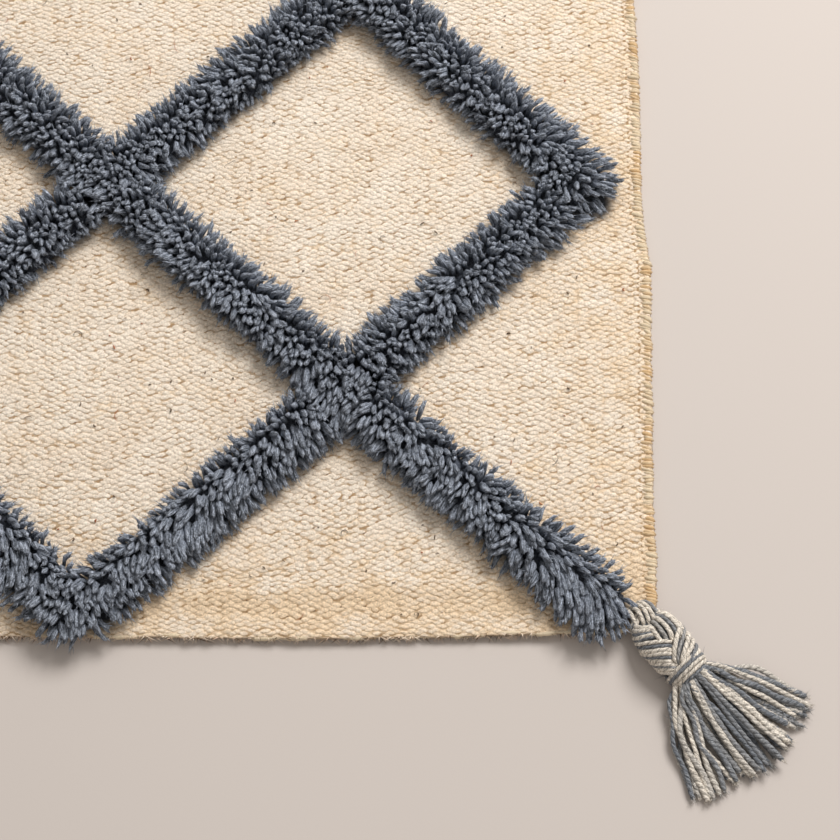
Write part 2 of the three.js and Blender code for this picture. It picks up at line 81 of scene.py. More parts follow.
class Shader:
    # one material and the nodes in it
    def __init__(self, name):
        self.material = bpy.data.materials.new(name)
        self.material.use_nodes = True
        self.tree = self.material.node_tree
        self.tree.nodes.clear()

    def node(self, kind, settings=None, values=None, output=0):
        node = self.tree.nodes.new(kind)
        for key, setting in (settings or {}).items():
            if key == "stops":
                self.setStops(node.color_ramp, setting)
            else:
                setattr(node, key, setting)
        for key, value in (values or {}).items():
            if isinstance(value, Value):
                self.tree.links.new(value.socket, node.inputs[key])
            else:
                node.inputs[key].default_value = value
        return Value(self, node.outputs[output]) if len(node.outputs) else None

    def setStops(self, ramp, stops):
        while len(ramp.elements) < len(stops):
            ramp.elements.new(1.0)
        for element, (position, colour) in zip(ramp.elements, stops):
            element.position = position
            element.color = (*colour, 1.0)

    def maths(self, operation, *values):
        return self.node("ShaderNodeMath", {"operation": operation}, dict(enumerate(values)))

    def smooth(self, value, low, high):
        settings = {"interpolation_type": "SMOOTHSTEP"}
        return self.node("ShaderNodeMapRange", settings, {"Value": value, "From Min": low, "From Max": high})

    def mix(self, factor, first, second, blend="MIX"):
        # colour mix, its sockets by number: factor 0, colours 6 and 7, result 2
        paint = [c if isinstance(c, Value) else (*c, 1.0) for c in (first, second)]
        settings = {"data_type": "RGBA", "blend_type": blend}
        return self.node("ShaderNodeMix", settings, {0: factor, 6: paint[0], 7: paint[1]}, output=2)

    def combine(self, x, y, z):
        return self.node("ShaderNodeCombineXYZ", None, {"X": x, "Y": y, "Z": z})

    def split(self, vector):
        node = self.node("ShaderNodeSeparateXYZ", None, {"Vector": vector}).socket.node
        return [Value(self, socket) for socket in node.outputs]

    def uv(self, name):
        return self.node("ShaderNodeUVMap", {"uv_map": name})

    def place(self):
        # place on the object in metres
        return self.node("ShaderNodeTexCoord", None, None, output="Object")

    def attribute(self, name):
        return self.node("ShaderNodeAttribute", {"attribute_name": name}, None, output="Fac")

    def noise(self, vector, scale, detail=2.0, roughness=0.5):
        values = {"Vector": vector, "Scale": scale, "Detail": detail, "Roughness": roughness}
        return self.node("ShaderNodeTexNoise", None, values)

    def random(self, vector):
        # four random numbers for each whole place: one, then three
        settings = {"noise_dimensions": "3D"}
        node = self.node("ShaderNodeTexWhiteNoise", settings, {"Vector": vector}).socket.node
        return Value(self, node.outputs["Value"]), self.split(Value(self, node.outputs["Color"]))

    def yarnRing(self, stretch):
        # place that runs round a yarn without a seam, drawn out along it, and its cosine
        u, v, _ = self.split(self.uv("yarn"))
        cosine, sine = self.maths("COSINE", u * (2 * math.pi)), self.maths("SINE", u * (2 * math.pi))
        return self.combine(cosine, sine, v * stretch), cosine

    def fluff(self, scale):
        # fine light and dark of loose wool
        return self.smooth(self.noise(self.place(), scale, 2.0, 0.6), 0.36, 0.64)

    def shaded(self, colour, shade, green=1.0, blue=1.0):
        # colour darkened by a shade, with its green and blue a little more
        return self.mix(1.0, colour, self.combine(shade, shade * green, shade * blue), "MULTIPLY")

    def finish(self, colour, roughness, height, bumpDistance, bumpStrength, sheen):
        # cloth-like surface with its relief in a bump
        values = {"Height": height, "Distance": bumpDistance, "Strength": bumpStrength}
        normal = self.node("ShaderNodeBump", None, values)
        values = {"Base Color": colour, "Roughness": roughness, "Normal": normal}
        values.update({"Sheen Weight": sheen["weight"], "Sheen Roughness": sheen["roughness"]})
        values["Sheen Tint"] = (*sheen["tint"], 1.0)
        values["Specular IOR Level"] = sheen["gloss"]
        surface = self.node("ShaderNodeBsdfPrincipled", None, values)
        self.node("ShaderNodeOutputMaterial", None, {"Surface": surface})
        return self.material


# Meshes from arrays

def linked(name, data):
    thing = bpy.data.objects.new(name, data)
    bpy.context.scene.collection.objects.link(thing)
    return thing


def meshPiece(name, part, material, uvName="yarn"):
    # one mesh in metres. part is its points, its triangles, the uv place of each triangle corner,
    # and its attributes by name
    points, triangles, corners, attributes = part
    mesh = bpy.data.meshes.new(name)
    mesh.vertices.add(len(points))
    mesh.vertices.foreach_set("co", (np.asarray(points) * toMetres).astype(np.float32).ravel())
    mesh.loops.add(triangles.size)
    mesh.loops.foreach_set("vertex_index", triangles.astype(np.int32).ravel())
    mesh.polygons.add(len(triangles))
    mesh.polygons.foreach_set("loop_start", np.arange(0, triangles.size, 3, dtype=np.int32))
    mesh.polygons.foreach_set("use_smooth", np.ones(len(triangles), dtype=bool))
    if corners is not None:
        layer = mesh.uv_layers.new(name=uvName)
        layer.data.foreach_set("uv", corners.astype(np.float32).ravel())
    for key, values in attributes.items():
        attribute = mesh.attributes.new(key, "FLOAT", "POINT")
        attribute.data.foreach_set("value", np.asarray(values, dtype=np.float32).ravel())
    mesh.update(calc_edges=True)
    mesh.validate()
    mesh.materials.append(material)
    return linked(name, mesh)


def onRug(piece, slotName, *replaced):
    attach(piece, "root")
    if replaced:
        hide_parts(*replaced)
    return piece


def rising(value, start, over):
    # nothing up to start, then evenly up to one
    return np.clip((value - start) / over, 0, 1)


def unit(vectors):
    return vectors / np.maximum(np.linalg.norm(vectors, axis=-1, keepdims=True), 1e-9)


def lengthAlong(paths):
    # length of each line up to each of its places
    steps = np.linalg.norm(np.diff(paths, axis=1), axis=2)
    return np.concatenate([np.zeros((len(paths), 1)), np.cumsum(steps, axis=1)], axis=1)


def bentLines(start, knee, end, share):
    # lines that leave start towards knee and come to end
    start, knee, end = start[:, None], knee[:, None], end[:, None]
    return (1 - share) ** 2 * start + 2 * share * (1 - share) * knee + share ** 2 * end


def gridPatches(rows, wide):
    # first point of each patch in a grid of points, row after row
    row, column = np.meshgrid(np.arange(rows - 1), np.arange(wide - 1), indexing="ij")
    return (row * wide + column).ravel()


def ringFaces(rings, sides):
    # two triangles for each patch of a tube, and the ring and side of each patch
    ring, side = np.meshgrid(np.arange(rings - 1), np.arange(sides), indexing="ij")
    ring, side = ring.ravel(), side.ravel()
    here, beside = ring * sides + side, ring * sides + (side + 1) % sides
    faces = [np.stack([here, beside, beside + sides], 1), np.stack([here, beside + sides, here + sides], 1)]
    return faces, ring, side


def tubes(paths, radii, sides, tipReach, lobe=0.0, spin=0.0, tag=0.0):
    # closed tubes round many lines at once. paths is tube, ring, xyz; radii is tube, ring
    # lobe shapes the section like two plies side by side, spin turns it along the yarn,
    # and tag shifts each tube's own colours
    count, rings = paths.shape[:2]
    radii = np.broadcast_to(radii, (count, rings))
    tangents = unit(np.gradient(paths, axis=1))
    normals = np.empty_like(paths)
    flat = np.cross(tangents[:, 0], up)
    flat[np.linalg.norm(flat, axis=1) < 0.05] = (1.0, 0.0, 0.0)
    normals[:, 0] = unit(flat)
    for k in range(1, rings):
        last = normals[:, k - 1]
        lean = np.sum(last * tangents[:, k], axis=1, keepdims=True)
        normals[:, k] = unit(last - lean * tangents[:, k])
    others = np.cross(tangents, normals)
    around = 2 * math.pi * np.arange(sides) / sides
    section = lobe * np.abs(np.cos(around)) + np.sqrt(1 - (lobe * np.sin(around)) ** 2)
    reach = radii[..., None] * (section / (1 + lobe))
    angles = around + np.broadcast_to(spin, (count, rings))[..., None]
    ringPoints = paths[:, :, None, :] + normals[:, :, None, :] * (reach * np.cos(angles))[..., None]
    ringPoints = ringPoints + others[:, :, None, :] * (reach * np.sin(angles))[..., None]
    tips = paths[:, -1] + tangents[:, -1] * np.reshape(tipReach, (-1, 1))
    points = np.concatenate([ringPoints.reshape(count, rings * sides, 3), tips[:, None, :]], axis=1)

    # faces of one tube, with the share round the yarn and the ring of each corner
    faces, low, side = ringFaces(rings, sides)
    uLow, uHigh, high = side / sides, (side + 1) / sides, low + 1
    shares = [np.stack([uLow, uHigh, uHigh], 1), np.stack([uLow, uHigh, uLow], 1)]
    levels = [np.stack([low, low, high], 1), np.stack([low, high, high], 1)]
    last = (rings - 1) * sides
    s = np.arange(sides)
    faces.append(np.stack([last + s, last + (s + 1) % sides, np.full(sides, rings * sides)], 1))
    shares.append(np.stack([s / sides, (s + 1) / sides, (s + 0.5) / sides], 1))
    levels.append(np.full((sides, 3), rings - 1))
    s = np.arange(1, sides - 1)
    faces.append(np.stack([np.zeros_like(s), s + 1, s], 1))
    shares.append(np.zeros((sides - 2, 3)))
    levels.append(np.zeros((sides - 2, 3), dtype=int))
    faces, shares, levels = (np.concatenate(part) for part in (faces, shares, levels))

    lengths = lengthAlong(paths) + np.reshape(tag, (-1, 1))
    perTube = rings * sides + 1
    triangles = (faces[None] + (np.arange(count) * perTube)[:, None, None]).reshape(-1, 3)
    corners = np.stack([np.broadcast_to(shares, (count, *shares.shape)), lengths[:, levels]], axis=-1)
    return points.reshape(-1, 3), triangles, corners.reshape(-1, 3, 2)


def hairs(starts, ends, width, tone, rng):
    # thin loose fibres, each a closed sliver of four triangles
    count = len(starts)
    way = unit(ends - starts)
    side = unit(np.cross(way, rng.normal(0, 1, (count, 3))))
    other = np.cross(way, side)
    angles = 2 * math.pi * np.arange(3)[None, :, None] / 3
    ring = side[:, None] * np.cos(angles) + other[:, None] * np.sin(angles)
    ring = starts[:, None] + ring * np.reshape(width, (-1, 1, 1))
    points = np.concatenate([ring, ends[:, None]], axis=1).reshape(-1, 3)
    faces = np.array([(0, 1, 3), (1, 2, 3), (2, 0, 3), (0, 2, 1)])
    triangles = (faces[None] + (np.arange(count) * 4)[:, None, None]).reshape(-1, 3)
    corners = np.broadcast_to(rng.uniform(0, 300, (count, 1, 1)), (count, 12, 2)).reshape(-1, 3, 2)
    attributes = {"tone": np.repeat(tone, 4), "along": np.ones(count * 4)}
    return points, triangles, corners, attributes


def perPoint(values, sides):
    # spreads a value of each ring to the tube's points, tip included
    spread = np.repeat(values, sides, axis=1)
    return np.concatenate([spread, values[:, -1:]], axis=1).ravel()


def perTube(values, rings, sides):
    # spreads a value of each tube to all its points, tip included
    return np.repeat(values, rings * sides + 1)


def joined(parts):
    # several (points, triangles, corners, attributes) as one, with the attributes of the first
    points, triangles, corners, attributes = zip(*parts)
    firsts = np.cumsum([0] + [len(part) for part in points])
    triangles = [part + first for part, first in zip(triangles, firsts)]
    attributes = {key: np.concatenate([part[key] for part in attributes]) for key in attributes[0]}
    return np.concatenate(points), np.concatenate(triangles), np.concatenate(corners), attributes


def smoothNoise(x, y, size, seed):
    # seeded value noise from -1 to 1 with features of about that size in mm
    cells = 128
    grid = np.random.default_rng(seed).uniform(-1, 1, (cells, cells))
    gx, gy = x / size, y / size
    ix, iy = np.floor(gx).astype(int), np.floor(gy).astype(int)
    fx, fy = gx - ix, gy - iy
    fx, fy = fx * fx * (3 - 2 * fx), fy * fy * (3 - 2 * fy)
    ix, iy, nextX, nextY = ix % cells, iy % cells, (ix + 1) % cells, (iy + 1) % cells
    near = grid[ix, iy] * (1 - fx) + grid[nextX, iy] * fx
    far = grid[ix, nextY] * (1 - fx) + grid[nextX, nextY] * fx
    return near * (1 - fy) + far * fy


def noiseAlong(x, size, seed, row=0.0):
    # the same along one line
    return smoothNoise(x, np.full(np.shape(x), float(row)), size, seed)


# The rug's outline and lattice: as in the part, but for a few lattice points and the bands' shorter tips

rug = {
    "width": 700.0,
    "length": 1200.0,
    "cloth": 4.0,
    "cornerLift": 4.0,
    "cornerLiftReach": 130.0,
    "cornerRounding": 3.5,
    "cornerPull": 6.0,  # how far the tassel draws in the corner
    "cornerPullReach": 45.0,
    "cornerPullAlong": 0.5,
    "endWave": 1.2,
    "endWaveLength": 58.0,
    "endCurl": 2.2,  # the woven ends stand a little off the floor
    "endCurlReach": 20.0,
    "endCurlFrom": (12.0, 45.0),  # it starts that far in from the long sides, and is full that much further
    "ripple": 1.6,  # a soft wave near the photographed end, and its place along
    "ripplePlace": -571.0,
    "rippleWidth": 6.0,
    "rippleDip": 14.0,  # the dip behind it
    "sideFade": 8,  # how fast the side's unevenness dies away inwards, and the end's
    "endFade": 16,
    "cellsAcross": 4,
    "cellsAlong": 8,
    "sideMargin": 36.0,  # from the edges to the outer lattice points
    "endMargin": 12.5,
    "bandTip": 12.5,  # how far the roots run past an outer lattice point, and at a corner
    "bandCorner": 3.0,
}
halfX, halfY = rug["width"] / 2, rug["length"] / 2

# how far each side edge stands out, down the photographed half: along, right, left
sideRows = np.array([
    (-600, 0, 0.6), (-588, -0.6, 0.8), (-564, -2.4, 1.4), (-526, -3, 1.9), (-480, -1.4, 1.1),
    (-432, 1, -0.6), (-376, 3.1, -1.7), (-349, 3.9, -1.9), (-329, 1.2, -1.4), (-303, 0.5, -0.5),
    (-242, 2.6, 1.2), (-195, 3.4, 1.8), (-148, 3.2, 1), (-75, 1.4, -0.8),
])

# lattice points that hand knotting has moved: (across, along): (right, up)
movedPoints = {
    (0, 0): (2.4, -1.6), (2, 0): (-3.0, -1.4), (1, 1): (0.4, -1.9), (0, 2): (-4.2, -2), (2, 2): (0.3, -1.8),
    (1, 3): (5.4, 6.0), (3, 3): (-1.8, 3.4), (0, 4): (1.6, 2.2), (4, 4): (-1.4, -1.6), (2, 6): (2, 1.2),
    (1, 7): (-1.5, -1.2),
}


def cornerDistance(x, y):
    return np.hypot(halfX - np.abs(x), halfY - np.abs(y))


def clothLift(x, y):
    # height of the cloth's underside: corners lifted, ends curled, one ripple
    share = np.maximum(0, 1 - cornerDistance(x, y) / rug["cornerLiftReach"])
    curl = np.clip(1 - (halfY - np.abs(y)) / rug["endCurlReach"], 0, 1) ** 2
    curl = curl * rising(halfX - np.abs(x), *rug["endCurlFrom"]) * (0.65 + 0.35 * noiseAlong(x, 47.0, 15))
    beyond = y - rug["ripplePlace"] + 4 * noiseAlong(x, 60.0, 16)
    width, dip = rug["rippleWidth"], rug["rippleDip"]
    wave = np.exp(-(beyond / width) ** 2) - 0.6 * np.exp(-((beyond - dip) / width) ** 2)
    wave = wave * rising(x, 10, 70) * rising(-x, -300, 60)
    return rug["cornerLift"] * share ** 2 + rug["endCurl"] * curl + rug["ripple"] * np.maximum(wave, 0)


def drawnIn(x, y):
    # how far the cloth is drawn in by the corner's tassel
    return rug["cornerPull"] * np.maximum(0, 1 - cornerDistance(x, y) / rug["cornerPullReach"])


def clothPlace(x, y, inset=0.0):
    # place on the cloth for an even grid place, after its uneven edges
    photographed = -np.abs(y)
    right = np.interp(photographed, sideRows[:, 0], sideRows[:, 1])
    left = np.interp(photographed, sideRows[:, 0], sideRows[:, 2])
    mirrored = y > 0
    reach = np.where((x > 0) != mirrored, right, left)
    endReach = rug["endWave"] * np.sin(x / rug["endWaveLength"] + np.sign(y))
    atCorner = (np.abs(x) > halfX - 0.01) & (np.abs(y) > halfY - 0.01)
    pull = drawnIn(x, y) + np.where(atCorner, rug["cornerRounding"], 0.0)
    shareX, shareY = x / halfX, y / halfY
    sidePull = np.sign(x) * pull * np.abs(shareX) ** rug["sideFade"]
    endPull = np.sign(y) * (pull * rug["cornerPullAlong"] - endReach) * shareY ** rug["endFade"]
    return shareX * (halfX + reach - inset) - sidePull, shareY * (halfY - inset) - endPull


def latticePoint(across, along):
    right, lifted = movedPoints.get((across, along), (0.0, 0.0))
    cellWide = (rug["width"] - 2 * rug["sideMargin"]) / rug["cellsAcross"]
    cellTall = (rug["length"] - 2 * rug["endMargin"]) / rug["cellsAlong"]
    x = halfX - rug["sideMargin"] - across * cellWide + right
    y = -halfY + rug["endMargin"] + along * cellTall + lifted
    return np.array([x, y])


def shagLines():
    # each shag node with its line and how far it runs past the lattice at either end
    wide, tall = rug["cellsAcross"], rug["cellsAlong"]
    rugCorners = [(0, 0), (wide, 0), (0, tall), (wide, tall)]
    lines = []

    def addLine(node, cells, over):
        overs = [rug["bandCorner"] if cell in rugCorners else over for cell in (cells[0], cells[-1])]
        points = np.array([latticePoint(*cell) for cell in cells])
        lines.append({"node": node, "points": points, "overs": overs, "through": over > 0})

    for k, offset in enumerate(range(-2, 7, 2)):
        cells = [(a, a + offset) for a in range(wide + 1) if 0 <= a + offset <= tall]
        addLine(f"shag_band_{k + 1}", cells, rug["bandTip"])
    count = 0
    for total in range(2, 11, 2):
        for across in range(wide):
            along = total - across
            if 1 <= along <= tall:
                count += 1
                addLine(f"shag_cross_{count}", [(across, along), (across + 1, along - 1)], 0.0)
    return lines


lines = shagLines()


def segmentsOf(line):
    # straight stretches of a shag line: start, end, and how far each runs on
    points = line["points"]
    for k in range(len(points) - 1):
        startOver = line["overs"][0] if k == 0 else 0.0
        endOver = line["overs"][1] if k == len(points) - 2 else 0.0
        yield points[k], points[k + 1], startOver, endOver


def stretchWay(start, end):
    # length of a straight stretch, its direction and the direction across it
    span = np.linalg.norm(end - start)
    direction = (end - start) / span
    return span, direction, np.array([-direction[1], direction[0]])


def depthInShag(x, y, halfWidth, throughOnly=False):
    # how deep a place lies inside the knotted bands, negative outside them
    deepest = np.full(np.shape(x), -1e6)
    for line in lines:
        if throughOnly and not line["through"]:
            continue
        for start, end, startOver, endOver in segmentsOf(line):
            span, direction, side = stretchWay(start, end)
            forward = (x - start[0]) * direction[0] + (y - start[1]) * direction[1]
            sideways = np.abs((x - start[0]) * side[0] + (y - start[1]) * side[1])
            beyond = np.maximum(np.maximum(-startOver - forward, forward - span - endOver), 0.0)
            deepest = np.maximum(deepest, halfWidth - np.hypot(sideways, beyond))
    return deepest


# Ground cloth

ground = {
    "grainWide": 8.0,  # two warps across, the repeat of the staggered weft grains
    "grainTall": 3.85,  # two weft rows along
    "grainStray": (0.28, 0.32),  # how far grains stray across and along, as a share of the repeat
    "grainNarrow": (3.2, 0.7),  # how narrow they are, and how much less some of them
    "grainShort": (2.9, 0.7),
    "grainSlant": 0.5,
    "unevenness": 0.28,
    "rimFade": 40.0,  # it dies away this near the rim
    "wander": 1.1,  # how far rows wander to and fro
    "swell": 0.7,
    "rimIn": 1.3,  # how far the rim draws in above and below its middle
    "rimUndercut": 4.5,
    "rimHeight": 2.8,
    "undersidePitch": 14.0,
    "rootHalf": 15.0,  # half width of the knotted bands, as the underside shows them
    "underClear": (12, 8),  # the dark under the pile stays that far inside the sides and ends
    "bumpHeight": 0.00075,
    "bends": 95.0,  # how many bends, slants, stains and so on to a metre
    "slants": 14.0,
    "rags": 620.0,
    "crumbs": 740.0,
    "patches": 330.0,
    "paleness": 26.0,
    "stains": 60.0,
    "grainColour": (0.94, 0.80, 0.65),
    "paleColour": (0.98, 0.875, 0.75),
    "goldAndShadeColour": (0.90, 0.68, 0.45),
    "creaseShadeColour": (0.47, 0.305, 0.165),
    # painted shade colour of the creases and holes between the grains
    "fleckColour": (0.10, 0.055, 0.03),
    "rustColour": (0.52, 0.22, 0.09),
    # brown thread ends and painted shade on the cloth's rim
    "rimEndsAndShadeColour": (0.40, 0.27, 0.17),
    # painted shade under the pile, over the knots' blue wool
    "knotShadeColour": (0.055, 0.062, 0.075),
    "backColour": (0.25, 0.265, 0.285),
    "goldEdge": (0.24, 0.352),  # the cloth yellows between these places across, and along
    "goldEnd": (0.50, 0.602),
    # the dip and ripple shares are painted shade, the others real yellowing
    "goldFrom": {"stain": 0.6, "tone": 0.14, "dip": 0.2, "edge": 0.17, "end": 0.22, "ripple": 0.16},
    "goldMost": 0.85,
    "flecks": 0.04,  # share of the grains with a dark fleck
    "rusty": (0.004, 0.0085),  # grains with a random number between these have a rusty one
    "sheen": {"weight": 0.12, "roughness": 0.5, "tint": (1.0, 0.95, 0.88), "gloss": 0.12},
}
weaveColumns = int(round(rug["width"] / ground["grainWide"]))
weaveRows = int(round(rug["length"] / ground["grainTall"]))
lowColumns = int(round(rug["width"] / ground["undersidePitch"]))
lowRows = int(round(rug["length"] / ground["undersidePitch"]))


def grainSet(shader, u, v, slant, shift):
    # one of the two staggered sets of weft grains: its dome, and random numbers for each grain
    cellU = shader.maths("FLOOR", u + (0.5 + shift)) - shift
    cellV = shader.maths("FLOOR", v + (0.5 + shift)) - shift
    pick, (first, second, third) = shader.random(shader.combine(cellU, cellV, 3.7 + shift))
    fourth, (fifth, sixth, _) = shader.random(shader.combine(cellU, cellV, 11.3 + shift))
    strayU, strayV = ground["grainStray"]
    narrow, lessNarrow = ground["grainNarrow"]
    short, lessShort = ground["grainShort"]
    du = u - cellU + (first - 0.5) * strayU
    dv = v - cellV + (fifth - 0.5) * strayV
    dv = dv + du * (slant + (sixth - 0.5) * ground["grainSlant"])
    wide = du * (narrow - second * lessNarrow)
    tall = dv * (short - fourth * lessShort)
    dome = shader.maths("MAXIMUM", 1.0 - wide * wide - tall * tall, 0.0) ** 0.7
    offU = du * 8.0 - (first - 0.5) * 5.0
    offV = dv * 4.0 + 1.3 + (third - 0.5) * 1.2
    spot = shader.maths("SQRT", offU * offU + offV * offV * 2.2)
    return {"dome": dome * (0.62 + third * 0.38), "tone": third, "pick": pick, "spot": spot, "below": dv}


def weaveMaterial():
    shader = Shader("cream_weave")
    u, v, _ = shader.split(shader.uv("weave"))
    place = shader.place()
    x, y, _ = shader.split(place)
    # the yarn runs a little crooked, and slants in places
    bend = shader.noise(place, ground["bends"], 1.0)
    wobble = shader.noise(shader.combine(u * 0.9, v * 1.1, 5.0), 1.0, 1.0)
    ragged = shader.noise(place, ground["rags"], 2.0, 0.6)
    uBent = u + (wobble - 0.5) * 0.4 + (ragged - 0.5) * 0.2
    vBent = v + (bend - 0.5) * 0.45 + (ragged - 0.5) * 0.3
    slant = (shader.noise(place, ground["slants"], 1.0) - 0.48) * 0.4
    one = grainSet(shader, uBent, vBent, slant, 0.0)
    two = grainSet(shader, uBent, vBent, slant, 0.5)
    oneWins = shader.maths("GREATER_THAN", one["dome"], two["dome"])

    def winner(key):
        return two[key] + (one[key] - two[key]) * oneWins

    dome = shader.maths("MAXIMUM", one["dome"], two["dome"])
    tone, pick, spot, below = winner("tone"), winner("pick"), winner("spot"), winner("below")
    fibres = shader.noise(shader.combine(u * 7.0 + v * 3.0, v * 22.0, tone * 30.0), 1.0, 3.0, 0.6)
    fibres = shader.smooth(fibres, 0.3, 0.7)
    crumbs = shader.noise(place, ground["crumbs"], 2.0, 0.6)
    height = dome + (fibres - 0.5) * 0.2 + (ragged - 0.5) * 0.3 + (crumbs - 0.5) * 0.3

    pale = shader.noise(place, ground["paleness"], 3.0)
    colour = shader.mix(shader.smooth(pale, 0.30, 0.74), ground["grainColour"], ground["paleColour"])
    colour = shader.mix(shader.smooth(tone, 0.35, 1.0) * 0.4, colour, ground["paleColour"])
    # it yellows at the edges and in stains; in the dips between grains and along the ripple the gold is
    # painted shade
    edge = shader.smooth(shader.maths("ABSOLUTE", x), *ground["goldEdge"])
    end = shader.smooth(shader.maths("ABSOLUTE", y), *ground["goldEnd"])
    stain = shader.noise(place, ground["stains"], 3.0)
    fromRipple = shader.maths("ABSOLUTE", y - (rug["ripplePlace"] - 7) * toMetres)
    ripple = 1.0 - shader.smooth(fromRipple, 0.003, 0.013)
    ripple = ripple * shader.smooth(x, 0.0, 0.08) * (1.0 - shader.smooth(x, 0.24, 0.3))
    share = ground["goldFrom"]
    goldAndShade = stain * share["stain"] + tone * share["tone"] + (1.0 - dome) * share["dip"]
    goldAndShade = goldAndShade + edge * share["edge"] + end * share["end"] + ripple * share["ripple"]
    goldAndShade = shader.smooth(goldAndShade, 0.44, 0.84)
    colour = shader.mix(goldAndShade * ground["goldMost"], colour, ground["goldAndShadeColour"])
    # painted shade in the creases between the grains, deeper on their lower side, and broken up
    broken = shader.smooth(crumbs, 0.36, 0.64)
    dips = 1.0 - shader.smooth(dome + (ragged - 0.5) * 0.5, 0.0, 0.34)
    shaded = shader.smooth(0.0 - below, -0.04, 0.3)
    gaps = 0.06 + shaded * 0.6 + shader.smooth(pick, 0.5, 1.0) * 0.5
    patchy = shader.smooth(shader.noise(place, ground["patches"], 1.0), 0.36, 0.62)
    deep = (1.0 - dome) * 0.06 + dips * gaps * (0.34 + broken * 0.75 + patchy * 0.42)
    # painted shade in small holes where the selvedge meets the weave
    fromMiddle = shader.maths("ABSOLUTE", u - weaveColumns / 2)
    beside = shader.maths("ABSOLUTE", fromMiddle - (weaveColumns / 2 - 0.88))
    holes = 1.0 - shader.smooth(beside + (ragged - 0.5) * 0.12, 0.05, 0.18)
    holes = holes * (1.0 - shader.smooth(dome + (ragged - 0.5) * 0.6, 0.1, 0.5))
    deep = shader.maths("MAXIMUM", deep, holes)
    # painted shade: creases and holes darkened towards the crease shade colour
    colour = shader.mix(deep, colour, ground["creaseShadeColour"])
    # fibre texture, and painted light: each grain lighter on its upper part; darker tones warmer
    streaks = 0.725 + fibres * 0.16 + broken * 0.27 + shader.smooth(below, -0.3, 0.3) * 0.08
    warm = shader.combine(streaks, streaks * 1.06 - 0.06, streaks * 1.12 - 0.12)
    colour = shader.mix(1.0, colour, warm, "MULTIPLY")
    fleck = (1.0 - shader.smooth(spot, 0.35, 0.75)) * shader.maths("GREATER_THAN", pick, 1 - ground["flecks"])
    colour = shader.mix(fleck * 0.85, colour, ground["fleckColour"])
    lowest, highest = ground["rusty"]
    rusty = shader.maths("GREATER_THAN", pick, lowest) * shader.maths("LESS_THAN", pick, highest)
    colour = shader.mix((1.0 - shader.smooth(spot, 0.3, 0.8)) * rusty * 0.8, colour, ground["rustColour"])
    # the rim: brown thread ends together with painted shade on the cloth's edge
    colour = shader.mix(shader.attribute("rim") * (0.35 + broken * 0.5), colour, ground["rimEndsAndShadeColour"])
    # knots of the shag: near black under the pile as painted shade, and showing as blue dashes on the
    # underside
    colour = shader.mix(shader.attribute("underPile"), colour, ground["knotShadeColour"])
    dash = shader.attribute("knotBacks") * shader.maths("GREATER_THAN", tone, 0.28) * (0.4 + dome * 0.5)
    colour = shader.mix(dash, colour, ground["backColour"])
    return shader.finish(colour, 0.9, height, ground["bumpHeight"], 1.0, ground["sheen"])


def weaveGrid():
    # warp and weft places of the top, uneven as on a hand loom, in even rug coordinates
    rng = np.random.default_rng(7)
    warp = np.concatenate([[0.0], np.cumsum(rng.uniform(0.95, 1.05, weaveColumns))])
    weft = np.concatenate([[0.0], np.cumsum(rng.uniform(0.88, 1.12, weaveRows))])
    x = warp / warp[-1] * rug["width"] - halfX
    y = weft / weft[-1] * rug["length"] - halfY
    i, j = np.meshgrid(np.arange(weaveColumns + 1), np.arange(weaveRows + 1))
    return i, j, x[i], y[j]


def rimOrder(columns, rows):
    # grid places round the rim, anticlockwise from the corner at -x, -y
    order = [(a, 0) for a in range(columns)]
    order += [(columns, b) for b in range(rows)]
    order += [(a, rows) for a in range(columns, 0, -1)]
    return np.array(order + [(0, b) for b in range(rows, 0, -1)])


def groundTop(i, j, x, y):
    # woven top: its points, triangles, weave places and where it is dark under the pile
    fade = ground["rimFade"]
    fromSide = np.minimum(halfX - np.abs(x), fade) / fade
    fromEnd = np.minimum(halfY - np.abs(y), fade) / fade
    wander = ground["wander"] * (smoothNoise(x, y, 55.0, 11) + 0.5 * smoothNoise(x, y, 21.0, 12))
    jitter = np.random.default_rng(8).uniform(-1, 1, (3, *x.shape))
    freeX = (i > 0) & (i < weaveColumns)
    freeY = (j > 0) & (j < weaveRows)
    evenX = x + (jitter[0] * 0.5 + smoothNoise(x, y, 70.0, 13) * 0.8 * fromSide) * freeX
    evenY = y + (jitter[1] * 0.3 + wander * fromEnd) * freeY
    placeX, placeY = clothPlace(evenX, evenY, ground["rimIn"])
    swell = ground["swell"] * smoothNoise(x, y, 90.0, 14) * fromSide * fromEnd
    uneven = np.where(freeX & freeY, ground["unevenness"] * jitter[2] + np.maximum(swell, -0.1), -0.2)
    z = clothLift(placeX, placeY) + rug["cloth"] - 0.1 + uneven
    points = np.stack([placeX, placeY, z], axis=-1).reshape(-1, 3)

    wide = weaveColumns + 1
    a = gridPatches(weaveRows + 1, wide)
    b, c, d = a + 1, a + wide, a + wide + 1
    turned = (((i + j)[:-1, :-1]) % 2 == 0).ravel()[:, None]
    first = np.where(turned, np.stack([a, b, d], 1), np.stack([a, b, c], 1))
    second = np.where(turned, np.stack([a, d, c], 1), np.stack([b, d, c], 1))
    weave = np.stack([i, j], axis=-1).reshape(-1, 2).astype(float)
    depth = depthInShag(placeX, placeY, ground["rootHalf"])
    sideClear, endClear = ground["underClear"]
    inside = halfX - sideClear - drawnIn(placeX, placeY) - np.abs(placeX)
    clear = np.minimum(inside, halfY - endClear - np.abs(placeY))
    under = rising(np.minimum(depth, clear).ravel(), -1.5, 4.0)
    return points, np.concatenate([first, second]), weave, under


